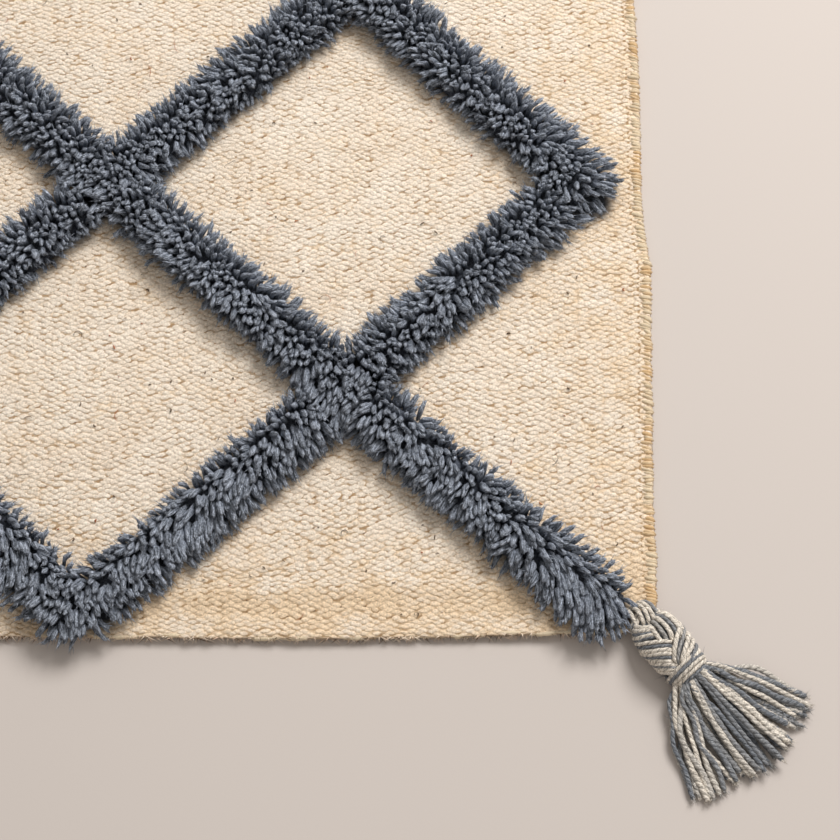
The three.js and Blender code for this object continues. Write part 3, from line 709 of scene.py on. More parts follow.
def groundUnder():
    # plain grid underneath, with the same outline, and where the knots show through
    i, j = np.meshgrid(np.arange(lowColumns + 1), np.arange(lowRows + 1))
    x, y = i / lowColumns * rug["width"] - halfX, j / lowRows * rug["length"] - halfY
    placeX, placeY = clothPlace(x, y, ground["rimUndercut"])
    points = np.stack([placeX, placeY, clothLift(placeX, placeY)], axis=-1).reshape(-1, 3)
    wide = lowColumns + 1
    a = gridPatches(lowRows + 1, wide)
    faces = np.concatenate([np.stack([a, a + wide + 1, a + 1], 1), np.stack([a, a + wide, a + wide + 1], 1)])
    grains = np.array([rug["width"] / ground["grainWide"], rug["length"] / ground["grainTall"]])
    weave = np.stack([i, j], axis=-1).reshape(-1, 2) * (grains / np.array([lowColumns, lowRows]))
    backs = np.clip(depthInShag(placeX, placeY, ground["rootHalf"]).ravel() / 6.0, 0, 1)
    return points, faces, weave, backs


def zipLoops(outer, inner, outerShare, innerShare):
    # triangles between two loops that run the same way round, by their share of the way
    faces = []
    a = b = 0
    while a < len(outer) or b < len(inner):
        nextA = outerShare[a + 1] if a < len(outer) else 9.0
        nextB = innerShare[b + 1] if b < len(inner) else 9.0
        if nextA <= nextB:
            faces.append((outer[a], inner[b % len(inner)], outer[(a + 1) % len(outer)]))
            a += 1
        else:
            faces.append((outer[a % len(outer)], inner[b], inner[(b + 1) % len(inner)]))
            b += 1
    return np.array(faces)


def rimShares(counts):
    # share of the way round at each rim place, a quarter of the loop for each edge
    shares = [k + np.arange(count) / count for k, count in enumerate(counts)]
    return np.concatenate([*shares, [4.0]])


def groundCloth():
    i, j, x, y = weaveGrid()
    top, topFaces, weave, under = groundTop(i, j, x, y)
    low, lowFaces, lowWeave, backs = groundUnder()
    across, along = rimOrder(weaveColumns, weaveRows).T
    rim = along * (weaveColumns + 1) + across
    lowAcross, lowAlong = rimOrder(lowColumns, lowRows).T
    lowRim = lowAlong * (lowColumns + 1) + lowAcross
    # a rounded rim between top and underside, at the cloth's full reach
    outX, outY = clothPlace(x[along, across], y[along, across], 0.0)
    outward = np.random.default_rng(9).uniform(-0.8, 0.6, len(rim))
    edgeX = np.where(across == 0, -1.0, np.where(across == weaveColumns, 1.0, 0.0))
    edgeY = np.where(along == 0, -1.0, np.where(along == weaveRows, 1.0, 0.0))
    rimZ = clothLift(outX, outY) + ground["rimHeight"]
    mid = np.stack([outX + edgeX * outward, outY + edgeY * outward, rimZ], axis=-1)
    midRim = len(top) + np.arange(len(mid))
    lowFirst = len(top) + len(mid)
    nextRim, nextMid = np.roll(rim, -1), np.roll(midRim, -1)
    shares = rimShares((weaveColumns, weaveRows, weaveColumns, weaveRows))
    lowShares = rimShares((lowColumns, lowRows, lowColumns, lowRows))
    triangles = np.concatenate([
        topFaces,
        np.stack([rim, midRim, nextMid], 1),
        np.stack([rim, nextMid, nextRim], 1),
        lowFaces + lowFirst,
        zipLoops(midRim, lowRim + lowFirst, shares, lowShares),
    ])
    rimWeave = weave[rim] + np.stack([edgeX, edgeY], 1) * np.array([0.25, 0.55])
    weave = np.concatenate([weave, rimWeave, lowWeave])
    attributes = {
        "underPile": np.concatenate([under, np.zeros(len(mid) + len(low))]),
        "knotBacks": np.concatenate([np.zeros(lowFirst), backs]),
        "rim": np.repeat([0.0, 1.0, 0.0], [len(top), len(mid), len(low)]),
    }
    part = (np.concatenate([top, mid, low]), triangles, weave[triangles], attributes)
    print("ground cloth:", len(triangles), "triangles")
    return onRug(meshPiece("kilim_cloth", part, weaveMaterial(), "weave"), "cream_wool", "kilim_ground")


# Shag

shag = {
    "rootHalf": 16.5,
    "spacing": 3.75,
    "rowSpacing": 0.87,  # share of the spacing from row to row
    "jitter": 0.9,
    "taper": ((0, 5, 13), (0.5, 0.82, 1.0)),  # distance from a band's end, share of its width there
    "edgeClear": (9.5, 5.0),  # roots keep that far inside the long sides and the woven ends
    "shift": 2.8,  # roots sit that much up the rug, so that the leaning pile is centred
    "length": (19.5, 23.5),
    "rimShorter": (0.36, 0.62),
    "tipHeight": (15.5, 19.0),  # the shears' height over the cloth
    "overhang": 9.0,
    "radius": (1.65, 2.35),
    "sides": 4,
    "rootDepth": 0.6,  # how far a tuft starts inside the cloth
    "bow": 1.2,
    "kneeHeight": 21.5,  # at most
    "pointed": (0.04, 0.25),  # share of pointed tufts, and how much more of them at the rims
    "clump": 10.0,
    "clumpPull": (0.0, 0.25),
    "wispPull": (0.0, 0.36),  # clumps at the rim draw together to points
    "spreadReach": 14.0,
    "spread": 0.66,
    "endSpread": 0.40,  # how far tufts lean out over the woven ends, and over the long sides
    "sideSpread": 0.34,
    "fall": ((-600, -470, -420, -300), (0.66, 0.62, 0.30, 0.26)),  # places up the rug, lean down it there
    "mostLean": 0.84,
    "endZone": (-75.0, 60.0),  # from the ends: where tufts start to follow them, and how soon fully
    "sideZone": (-85.0, 50.0),  # the same from the long sides
    "cornerZone": (240.0, 60.0),  # the same across, where tufts start to lean out over the ends
    "sideTip": 34.0,  # reach and strength with which the pile draws in to its points at the long sides
    "sideTipPull": 0.32,
    "clumpLean": 0.075,
    "tuftLean": 0.10,
    "fieldLean": 0.21,
    "swirl": 0.09,
    "matHalf": 14.5,
    "matPitch": 6.0,
    "matLump": 1.3,
    "matClear": (11, 6),  # the mat keeps that far inside the long sides and the ends
    "matStart": (3.0, 20.0),  # and that far inside the ends of a through band, and of a shorter length
    "hairLength": (3.0, 7.0),
    "hairWidth": 0.34,
    "hairTop": 21.0,
    "rimHairs": 4,
    "tone": 0.47,
    "tuftTone": 0.34,  # how far tufts differ in tone, clumps, and wider waves
    "clumpTone": 0.12,
    "waveTone": 0.06,
    "upperRimLight": 0.28,  # upper rims catch the light
    "shadeFrom": {"least": 0.03, "tone": 0.34, "streaks": 0.58, "fluff": 0.52},
    # painted shade at the tufts' roots and on the mat
    "rootShadeColour": (0.060, 0.068, 0.090),
    "woolColour": (0.288, 0.327, 0.409),
    # painted light on the tufts' tips
    "litTipColour": (0.447, 0.493, 0.586),
    "sheen": {"weight": 0.35, "roughness": 0.45, "tint": (0.78, 0.86, 1.0), "gloss": 0.15},
}
tuftShares = np.array([0.0, 0.5, 0.9])  # where along a tuft its rings are

# section of the mat at the tufts' roots: share of its half width, height
matSection = np.array([
    (-1.0, 0.0), (-0.94, 3.2), (-0.6, 6.4), (0.0, 7.6), (0.6, 6.4), (0.94, 3.2), (1.0, 0.0),
])


def shagMaterial():
    shader = Shader("blue_shag")
    ring, _ = shader.yarnRing(0.1)
    streaks = shader.smooth(shader.noise(ring, 1.9, 2.0, 0.6), 0.38, 0.62)
    fluff = shader.fluff(900.0)
    along = shader.attribute("along")
    # painted light: lighter towards the tips
    lit = shader.smooth(along + (streaks - 0.5) * 0.35, 0.45, 1.0)
    colour = shader.mix(lit, shag["woolColour"], shag["litTipColour"])
    share = shag["shadeFrom"]
    shade = share["least"] + shader.attribute("tone") * share["tone"]
    shade = shade + streaks * share["streaks"] + fluff * share["fluff"]
    colour = shader.shaded(colour, shade, blue=0.99)
    # painted shade: darker down towards the roots
    colour = shader.mix(1.0 - shader.smooth(along, 0.0, 0.5), colour, shag["rootShadeColour"])
    return shader.finish(colour, 0.9, streaks * 0.6 + fluff * 0.4, 0.0012, 1.0, shag["sheen"])


def tuftRoots(line, rng):
    # staggered roots over one length of shag, kept on the cloth and out of the bands it meets
    found = []
    step, half = shag["spacing"], shag["rootHalf"]
    none = 99.0  # stands for no end of the band
    for start, end, startOver, endOver in segmentsOf(line):
        span, direction, side = stretchWay(start, end)
        forward = np.arange(-startOver, span + endOver, step * shag["rowSpacing"])
        f, w = np.meshgrid(forward, np.arange(-half, half + 0.1, step), indexing="ij")
        w = w + (np.arange(len(forward)) % 2)[:, None] * step * 0.5 - step * 0.25
        f = f + rng.uniform(-1, 1, f.shape) * shag["jitter"]
        w = w + rng.uniform(-1, 1, w.shape) * shag["jitter"]
        fromStart = np.where(startOver > 0, f + startOver, none)
        fromEnd = np.where(endOver > 0, span + endOver - f, none)
        room = half * np.interp(np.minimum(fromStart, fromEnd), *shag["taper"])
        keep = np.abs(w) < room
        roots = start + f[keep][:, None] * direction + w[keep][:, None] * side + np.array([0, shag["shift"]])
        found.append(roots)
    roots = np.concatenate(found)
    x, y = roots.T
    sideClear, endClear = shag["edgeClear"]
    keep = (np.abs(x) < halfX - sideClear - drawnIn(x, y)) & (np.abs(y) < halfY - endClear)
    if not line["through"]:
        keep &= depthInShag(x, y, half, True) < -1.5
    return roots[keep]


def treeOf(places):
    tree = KDTree(len(places))
    for k, (x, y) in enumerate(places):
        tree.insert((x, y, 0.0), k)
    tree.balance()
    return tree


def outwardFrom(roots):
    # points out of the pile: nothing in its middle, about 1 long at its rim
    tree = treeOf(roots)
    reach = shag["spreadReach"]
    outward = np.zeros_like(roots)
    for k, (x, y) in enumerate(roots):
        near = [index for _, index, _ in tree.find_range((x, y, 0.0), reach)]
        outward[k] = roots[k] - roots[near].mean(axis=0)
    return outward / (0.42 * reach)


def clumpsOf(roots, rng):
    # each tuft's clump: the nearest of scattered centres
    size = shag["clump"]
    gx, gy = np.meshgrid(np.arange(-halfX, halfX + size, size), np.arange(-halfY, halfY + size, size))
    centres = np.stack([gx.ravel(), gy.ravel()], 1) + rng.uniform(-0.45, 0.45, (gx.size, 2)) * size
    tree = treeOf(centres)
    return len(centres), np.array([tree.find((x, y, 0.0))[1] for x, y in roots])


def leanTufts(tufts, rng):
    # how far each tuft leans across and up the rug, as a share of its length, and that length
    outward, rimShare, atRim, upperRim = (tufts[key] for key in ("outward", "rimShare", "atRim", "upperRim"))
    nearEnd, nearSide = tufts["nearEnd"], tufts["nearSide"]
    x, y = tufts["roots"].T
    count = len(x)
    clumpLean = rng.normal(0, 1, (tufts["clumps"], 2)) * shag["clumpLean"]
    lean = outward * shag["spread"] + clumpLean[tufts["clump"]]
    lean = lean + rng.normal(0, 1, (count, 2)) * shag["tuftLean"]
    fall = np.interp(y, *shag["fall"]) * (1 + 0.5 * tufts["wave"])
    lean[:, 1] -= fall * (1 - (0.3 + 0.7 * upperRim) * np.clip(rimShare, 0, 1) ** 1.5)
    lean[:, 0] += shag["fieldLean"] * smoothNoise(x, y, 42.0, 23)
    lean += shag["swirl"] * np.stack([smoothNoise(x, y, 17.0, 24), smoothNoise(x, y, 17.0, 25)], 1)
    # along the woven ends they stand up, and by the corners they lean out over the end
    byCorner = np.maximum(rising(np.abs(x), *shag["cornerZone"]), 0.45)
    upright = nearEnd * (1 - byCorner) / 0.55
    lean[:, 1] *= 1 - 0.45 * upright
    lean += rng.normal(0, 0.12, (count, 2)) * upright[:, None]
    lean[:, 1] += np.sign(y) * shag["endSpread"] * nearEnd * byCorner
    # at the long sides they lean out and fall less
    lean[:, 0] += np.sign(x) * shag["sideSpread"] * nearSide
    lean[:, 1] += fall * 0.35 * nearSide * (outward[:, 1] > -0.25)
    size = np.linalg.norm(lean, axis=1, keepdims=True)
    mostLean = shag["mostLean"] + 0.1 * atRim[:, None]
    wider = np.interp(y, (-470, -420), (0.05, 0.35)) * atRim * upperRim
    lean = lean * np.minimum(1 + wider[:, None], mostLean / np.maximum(size, 1e-6))
    length = rng.uniform(*shag["length"], count)
    shorter = atRim * (1 - 0.5 * np.maximum(nearEnd, nearSide))
    length = length * (1 - shorter * rng.uniform(*shag["rimShorter"], count))
    return lean, length


def gatherTips(tufts, tips, rng):
    # tips drawn together in clumps, and to a point at the long sides
    clump, clumps = tufts["clump"], tufts["clumps"]
    members = np.maximum(np.bincount(clump, minlength=clumps), 1)
    clumpTips = np.stack([np.bincount(clump, tips[:, axis], clumps) / members for axis in (0, 1)], 1)
    pull = rng.uniform(*shag["clumpPull"], clumps)[clump]
    wispPull = rng.uniform(*shag["wispPull"], clumps)[clump]
    pull = pull + (wispPull - pull) * tufts["atRim"]
    tips = tips + (clumpTips[clump] - tips) * pull[:, None]
    alongs = range(2, rug["cellsAlong"], 2)
    outer = [(across, along) for across in (0, rug["cellsAcross"]) for along in alongs]
    sidePoints = np.array([latticePoint(*cell) for cell in outer])
    gaps = np.linalg.norm(tufts["roots"][:, None] - sidePoints[None], axis=2)
    axisY = sidePoints[gaps.argmin(axis=1), 1] + 3.0
    drawn = tufts["nearSide"] * np.clip(1.25 - gaps.min(axis=1) / shag["sideTip"], 0, 1)
    tips[:, 1] += (axisY - tips[:, 1]) * drawn * np.where(tips[:, 1] > axisY, shag["sideTipPull"], 0.0)
    limit = np.array([halfX, halfY]) + shag["overhang"]
    return np.clip(tips, -limit, limit), pull


def tuftPaths(tufts, tips, lean, length, rng):
    # three places along each tuft, and its radius: tufts stand up from the knot and droop over at the top
    roots, atRim = tufts["roots"], tufts["atRim"]
    count = len(roots)
    flatSpan = np.linalg.norm(tips - roots, axis=1)
    climb = np.sqrt(np.maximum(length ** 2 - flatSpan ** 2, 9.0)) * 0.95
    radius = rng.uniform(*shag["radius"], count) * (1 - 0.15 * atRim)
    clothTop = clothLift(roots[:, 0], roots[:, 1]) + rug["cloth"]
    tipHeight = np.maximum(clothTop + climb, clothTop + radius * rng.uniform(0.9, 2.2, count))
    tipHeight = np.minimum(tipHeight, clothTop + rng.uniform(*shag["tipHeight"], count))
    root = np.column_stack([roots, clothTop - shag["rootDepth"]])
    tip = np.column_stack([tips, tipHeight])
    droop = np.clip(np.linalg.norm(lean, axis=1) - 0.3, 0, 0.5)
    drooped = np.maximum(tipHeight - droop * 5.0, clothTop + radius)
    kneeHeight = np.minimum(drooped - clothTop + 1.0 + droop * (12.0 - 8.0 * atRim), shag["kneeHeight"])
    knee = root + np.column_stack([(tips - roots) * 0.2, kneeHeight])
    bowed = knee + rng.normal(0, shag["bow"], (count, 3)) * np.array([1.0, 1.0, 0.3])
    return bentLines(root, bowed, tip, tuftShares[None, :, None]), radius


def tuftRadii(radius, pull, atRim, rng):
    # blunt tufts and pointed wisps: the radius at each ring, and how far the tip reaches
    count = len(radius)
    anywhere, more = shag["pointed"]
    pointed = rng.uniform(0, 1, count) < anywhere + more * atRim * np.clip(pull * 1.4, 0, 1)
    middle = np.where(pointed, 0.9, 1.08) * rng.uniform(0.9, 1.1, count)
    near = np.where(pointed, 0.5, 0.8) * rng.uniform(0.85, 1.1, count)
    radii = radius[:, None] * np.stack([np.full(count, 0.8), middle, near], 1)
    return radii, np.where(pointed, radius * 1.7, radius * rng.uniform(0.9, 1.5, count))


def shagPieces():
    rng = np.random.default_rng(21)
    allRoots = [tuftRoots(line, rng) for line in lines]
    owner = np.concatenate([np.full(len(r), k) for k, r in enumerate(allRoots)])
    roots = np.concatenate(allRoots)
    count = len(roots)
    outward = outwardFrom(roots)
    rimShare = np.clip(np.linalg.norm(outward, axis=1), 0, 1.15)
    nearEnd = rising(np.abs(roots[:, 1]) - halfY, *shag["endZone"])
    clumps, clump = clumpsOf(roots, rng)
    tufts = {
        "roots": roots,
        "outward": outward,
        "rimShare": rimShare,
        "atRim": rising(rimShare, 0.35, 0.55),
        "upperRim": np.clip(outward[:, 1] * 2.2, 0, 1),
        "nearEnd": nearEnd,
        "nearSide": rising(np.abs(roots[:, 0]) - halfX, *shag["sideZone"]) * (1 - nearEnd),
        "wave": smoothNoise(roots[:, 0], roots[:, 1], 48.0, 22),
        "clumps": clumps,
        "clump": clump,
    }
    lean, length = leanTufts(tufts, rng)
    tips, pull = gatherTips(tufts, roots + lean * length[:, None], rng)
    paths, radius = tuftPaths(tufts, tips, lean, length, rng)
    radii, tipReach = tuftRadii(radius, pull, tufts["atRim"], rng)
    clumpTone = rng.uniform(0, 1, clumps)[clump]
    tone = shag["tone"] + shag["tuftTone"] * rng.uniform(-1, 1, count)
    tone = tone + shag["clumpTone"] * (clumpTone - 0.5) + shag["waveTone"] * tufts["wave"]
    # painted light: upper rims lighter, as where they catch the light
    tone = tone + shag["upperRimLight"] * tufts["atRim"] * tufts["upperRim"]
    # the rims' tufts get less of the painted root shade
    along = tuftShares + tufts["atRim"][:, None] * (0.9 - tuftShares) * 0.35
    tags = rng.uniform(0, 400, count)

    material = shagMaterial()
    sides, rings = shag["sides"], len(tuftShares)
    total = 0
    for k, line in enumerate(lines):
        mine = owner == k
        points, triangles, corners = tubes(paths[mine], radii[mine], sides, tipReach[mine], tag=tags[mine])
        points = points + rng.normal(0, 0.24, points.shape)
        attributes = {"tone": perTube(tone[mine], rings, sides), "along": perPoint(along[mine], sides)}
        fuzz = looseHairs(paths[mine], radii[mine], tufts["atRim"][mine], tone[mine], rng)
        part = joined([(points, triangles, corners, attributes), fuzz, rootMat(line)])
        onRug(meshPiece(line["node"].replace("shag", "pile"), part, material), "blue_wool", line["node"])
        total += len(part[1])
    print("shag:", count, "tufts,", total, "triangles")


def looseHairs(paths, radii, atRim, tone, rng):
    # fibres that stand off the tufts, more of them at the rims
    each = 1 + (rng.uniform(0, 1, len(paths)) < 0.5)
    each = each + (rng.uniform(0, 1, len(paths)) < atRim * 1.2) * shag["rimHairs"]
    tuft = np.repeat(np.arange(len(paths)), each)
    count = len(tuft)
    share = rng.uniform(0.25, 1.0, (count, 1))
    middle, end = paths[tuft, 1], paths[tuft, 2]
    way = unit(end - middle)
    off = unit(rng.normal(0, 1, (count, 3)))
    starts = middle + (end - middle) * share + off * radii[tuft, 1][:, None] * 0.7
    length = rng.uniform(*shag["hairLength"], (count, 1))
    ends = starts + unit(way + off * rng.uniform(0.1, 0.8, (count, 1))) * length
    lowest = clothLift(ends[:, 0], ends[:, 1]) + rug["cloth"] + 0.3
    ends[:, 2] = np.clip(ends[:, 2], lowest, lowest + shag["hairTop"])
    # the hairs take the lit tip colour, painted light, and a lighter tone
    return hairs(starts, ends, np.full(count, shag["hairWidth"]), tone[tuft] + 0.25, rng)


def rootMat(line):
    # low lumpy bed of wool that closes the view between the tufts
    shares, heights = matSection.T
    wide = len(shares)
    sideClear, endClear = shag["matClear"]
    throughStart, crossStart = shag["matStart"]
    parts = []
    for start, end, startOver, endOver in segmentsOf(line):
        span, direction, side = stretchWay(start, end)
        if line["through"]:
            first, last = throughStart - startOver, span + endOver - throughStart
        else:
            first, last = crossStart, span - crossStart
        forward = np.linspace(first, last, int((last - first) / shag["matPitch"]) + 1)
        f, w = np.meshgrid(forward, shares * shag["matHalf"], indexing="ij")
        x = start[0] + f * direction[0] + w * side[0]
        y = start[1] + f * direction[1] + w * side[1] + shag["shift"]
        x = np.clip(x, -halfX + sideClear, halfX - sideClear)
        y = np.clip(y, -halfY + endClear, halfY - endClear)
        lump = smoothNoise(x, y, 7.0, 31) * shag["matLump"]
        z = clothLift(x, y) + rug["cloth"] - 0.3 + np.where(heights > 0, heights + lump, 0.0)
        points = np.stack([x, y, z], axis=-1).reshape(-1, 3)
        rows = len(x)
        here = gridPatches(rows, wide)
        under = np.arange(rows - 1) * wide
        faces = [
            np.stack([here, here + wide, here + 1], 1),
            np.stack([here + 1, here + wide, here + wide + 1], 1),
            np.stack([under, under + wide - 1, under + wide], 1),
            np.stack([under + wide, under + wide - 1, under + 2 * wide - 1], 1),
        ]
        base = (rows - 1) * wide
        for k in range(1, wide - 1):
            faces.append(np.array([(0, k, k + 1), (base, base + k + 1, base + k)]))
        triangles = np.concatenate(faces)
        corners = points[triangles][..., :2] * np.array([0.02, 0.5])
        # a low along paints the mat with the root shade colour: painted shade between the tufts
        attributes = {"tone": np.full(len(points), 0.3), "along": np.full(len(points), 0.12)}
        parts.append((points, triangles, corners, attributes))
    return joined(parts)


# Selvedge

selvedge = {
    "pitch": 2.25,
    "pitchJitter": 0.85,
    "endClear": 8.0,
    "wide": 5.8,
    "wideShare": (0.58, 1.18),  # how far stitches differ in width, in thickness and in how far they stand out
    "thickShare": (0.65, 1.2),
    "out": (-0.35, 0.3),
    "slant": (0.9, 0.8),  # mean and spread
    "rimIn": 0.9,
    "radius": 1.62,
    "sides": 4,
    "cordRadius": 1.45,
    "cordSides": 7,
    "cordPitch": 1.5,
    "cordClear": 9,
    "cordIn": 1.5,
    "cordHeight": 2.05,
    "cordLump": 0.42,
    "tanColour": (0.74, 0.52, 0.295),
    "paleColour": (0.82, 0.70, 0.53),
    "sheen": {"weight": 0.1, "roughness": 0.5, "tint": (1.0, 0.93, 0.82), "gloss": 0.12},
}

# one stitch over the top, round the rim and under: share of its width in from the edge, height, thickness
stitchSection = np.array([
    (-1.0, 2.7, 0.6), (-0.8, 3.35, 0.95), (-0.4, 3.6, 1.0), (0.0, 3.1, 1.0), (0.12, 2.0, 0.9),
    (-0.1, 0.75, 0.6), (-0.8, 0.55, 0.5),
])


def selvedgeMaterial():
    shader = Shader("overcast_yarn")
    ring, _ = shader.yarnRing(0.35)
    streaks = shader.noise(ring, 2.0, 3.0, 0.6)
    pale = shader.smooth(shader.attribute("tone") + (streaks - 0.5) * 0.6, 0.0, 0.6)
    colour = shader.mix(pale, selvedge["tanColour"], selvedge["paleColour"])
    colour = shader.shaded(colour, 0.80 + shader.smooth(streaks, 0.35, 0.65) * 0.15, 0.975, 0.93)
    return shader.finish(colour, 0.9, streaks, 0.0006, 0.7, selvedge["sheen"])


def selvedgeStitches(material):
    # wool wound over the outer warps, down both long sides
    inward, height, thick = stitchSection.T
    rng = np.random.default_rng(41)
    clear, pitch, sides = selvedge["endClear"], selvedge["pitch"], selvedge["sides"]
    count = int((rug["length"] - 2 * clear) / pitch)
    for side, name in ((1, "selvedge_right"), (-1, "selvedge_left")):
        jitter = rng.uniform(-selvedge["pitchJitter"], selvedge["pitchJitter"], count)
        y = -halfY + clear + (np.arange(count) + 0.5) * pitch + jitter
        slant = rng.normal(*selvedge["slant"], count) + noiseAlong(y, 30.0, 42) * 0.8
        edgeX, edgeY = clothPlace(np.full(count, side * halfX), y)
        wide = selvedge["wide"] * rng.uniform(*selvedge["wideShare"], count)
        out = rng.uniform(*selvedge["out"], count) + 0.5 * noiseAlong(y, 9.0, 44)
        across = side * (inward * wide[:, None] + out[:, None] - selvedge["rimIn"])
        along = edgeY[:, None] - side * slant[:, None] * (inward + 0.5)
        lift = clothLift(edgeX, edgeY)[:, None]
        z = np.maximum(height + lift + rng.uniform(-0.3, 0.35, (count, 1)), lift + 0.55)
        paths = np.stack([edgeX[:, None] + across, along, z], axis=-1)
        radii = selvedge["radius"] * rng.uniform(*selvedge["thickShare"], (count, 1)) * thick
        points, triangles, corners = tubes(paths, radii, sides, 0.3, tag=rng.uniform(0, 300, count))
        points[:, 2] = np.maximum(points[:, 2], clothLift(points[:, 0], points[:, 1]) + 0.05)
        tone = rng.uniform(0.12, 0.62, count) + 0.6 * noiseAlong(y, 17.0, 43, side * 40)
        attributes = {"tone": perTube(tone, len(height), sides)}
        onRug(meshPiece(name, (points, triangles, corners, attributes), material), "cream_wool")
        print(name + ":", count, "stitches,", len(triangles), "triangles")


def endCords(material):
    # the last weft of each woven end, lumpy and beaten down
    sides, clear = selvedge["cordSides"], selvedge["cordClear"]
    for end, name in ((-1, "end_cord_front"), (1, "end_cord_back")):
        rng = np.random.default_rng(47 + end)
        x = np.arange(-halfX + clear, halfX - clear, selvedge["cordPitch"])
        edgeX, edgeY = clothPlace(x, np.full(len(x), end * halfY))
        row = 9 * end
        lump = 0.7 * noiseAlong(x, 4.6, 48, row) + rng.normal(0, 0.14, len(x))
        out = 0.9 * noiseAlong(x, 12.0, 49, row) + 0.35 * lump
        z = clothLift(edgeX, edgeY) + selvedge["cordHeight"] + 0.3 * noiseAlong(x, 7.0, 50)
        paths = np.stack([edgeX, edgeY + end * (out - selvedge["cordIn"]), z], axis=-1)[None]
        radii = selvedge["cordRadius"] + selvedge["cordLump"] * lump
        points, triangles, corners = tubes(paths, radii, sides, 0.6)
        points = points + rng.normal(0, 0.13, points.shape)
        tone = 0.75 + 0.3 * noiseAlong(x, 19.0, 51, row) + rng.normal(0, 0.12, len(x))
        attributes = {"tone": perPoint(tone[None], sides)}
        onRug(meshPiece(name, (points, triangles, corners, attributes), material), "cream_wool")
        print(name + ":", len(triangles), "triangles")


# Loose fibres on the cloth and at its woven ends

strays = {
    "count": 560,
    "length": (2.5, 11.0),
    "specks": 0.8,  # share of them that are mere specks, and their share of the length
    "speckLength": 0.28,
    "radius": (0.12, 0.24),
    "shagClear": 28.0,  # half width of the bands that they keep clear of
    "endHairs": 2600,
    "endHairReach": (0.8, 3.2),
    "brownColour": (0.13, 0.08, 0.045),
    "rustColour": (0.46, 0.15, 0.05),
    "sheen": {"weight": 0.1, "roughness": 0.5, "tint": (1.0, 0.95, 0.9), "gloss": 0.1},
}


def strayMaterial():
    # a low tone is brown, a middle one rusty and a high one cream
    shader = Shader("stray_fibre")
    tone = shader.attribute("tone")
    colour = shader.mix(shader.smooth(tone, 0.2, 0.45), strays["brownColour"], strays["rustColour"])
    colour = shader.mix(shader.smooth(tone, 0.5, 0.75), colour, ground["grainColour"])
    return shader.finish(colour, 0.9, tone, 0.0001, 0.1, strays["sheen"])


def lyingFibres(rng):
    # fibres and specks that lie on the cloth, clear of the pile
    count = strays["count"]
    x, y = rng.uniform(-halfX + 12, halfX - 12, count * 3), rng.uniform(-halfY + 8, halfY - 8, count * 3)
    clear = np.flatnonzero(depthInShag(x, y, strays["shagClear"]) < 0)[:count]
    x, y = x[clear, None], y[clear, None]
    count = len(clear)
    profile = np.array([0.6, 0.9, 1.0, 1.0, 1.0, 0.9, 0.6])
    rings = len(profile)
    share = np.linspace(-0.5, 0.5, rings)
    length = rng.uniform(*strays["length"], (count, 1))
    isSpeck = rng.uniform(0, 1, (count, 1)) < strays["specks"]
    length = length * np.where(isSpeck, strays["speckLength"], 1.0)
    heading = rng.uniform(0, math.pi, (count, 1)) + rng.normal(0, 1.3, (count, 1)) * share * 2
    step = length / (rings - 1)
    pathX = x + np.cumsum(np.cos(heading) * step, axis=1)
    pathY = y + np.cumsum(np.sin(heading) * step, axis=1)
    clothTop = clothLift(pathX, pathY) + rug["cloth"] + ground["swell"] * 0.4
    z = clothTop + rng.uniform(0.1, 0.5, (count, 1)) + 0.3 * np.sin(share * 9 + x)
    radii = rng.uniform(*strays["radius"], (count, 1)) * profile
    radii = radii * np.where(length < 4.0, 2.3, 1.0)
    points, triangles, corners = tubes(np.stack([pathX, pathY, z], axis=-1), radii, 3, 0.2)
    tone = rng.choice([0.1, 0.47, 0.9], count, p=[0.5, 0.28, 0.22])
    return points, triangles, corners, {"tone": perTube(tone, rings, 3)}


def raggedEnds(rng):
    # short ends of warp and weft that stick out along the woven ends
    count = strays["endHairs"]
    x = rng.uniform(-halfX + 5, halfX - 5, count)
    end = np.where(np.arange(count) % 2 == 0, -1.0, 1.0)
    edgeX, edgeY = clothPlace(x, end * halfY, 0.3)
    z = clothLift(edgeX, edgeY) + rng.uniform(0.8, 3.8, count)
    starts = np.column_stack([edgeX, edgeY - end * 0.6, z])
    reach = rng.uniform(*strays["endHairReach"], count) ** 1.3
    swerve = rng.normal(0, 1.1, count)
    ends = starts + np.column_stack([swerve * reach, end * reach, rng.uniform(-0.9, 0.15, count) * reach])
    ends[:, 2] = np.maximum(ends[:, 2], 0.2)
    tone = rng.choice([0.1, 0.66, 0.9], count, p=[0.25, 0.3, 0.45])
    return hairs(starts, ends, rng.uniform(0.16, 0.42, count), tone, rng)


def strayFibres():
    rng = np.random.default_rng(61)
    part = joined([lyingFibres(rng), raggedEnds(rng)])
    onRug(meshPiece("stray_fibres", part, strayMaterial()), "cream_wool")
    print("stray fibres:", len(part[1]), "triangles")


# Tassels

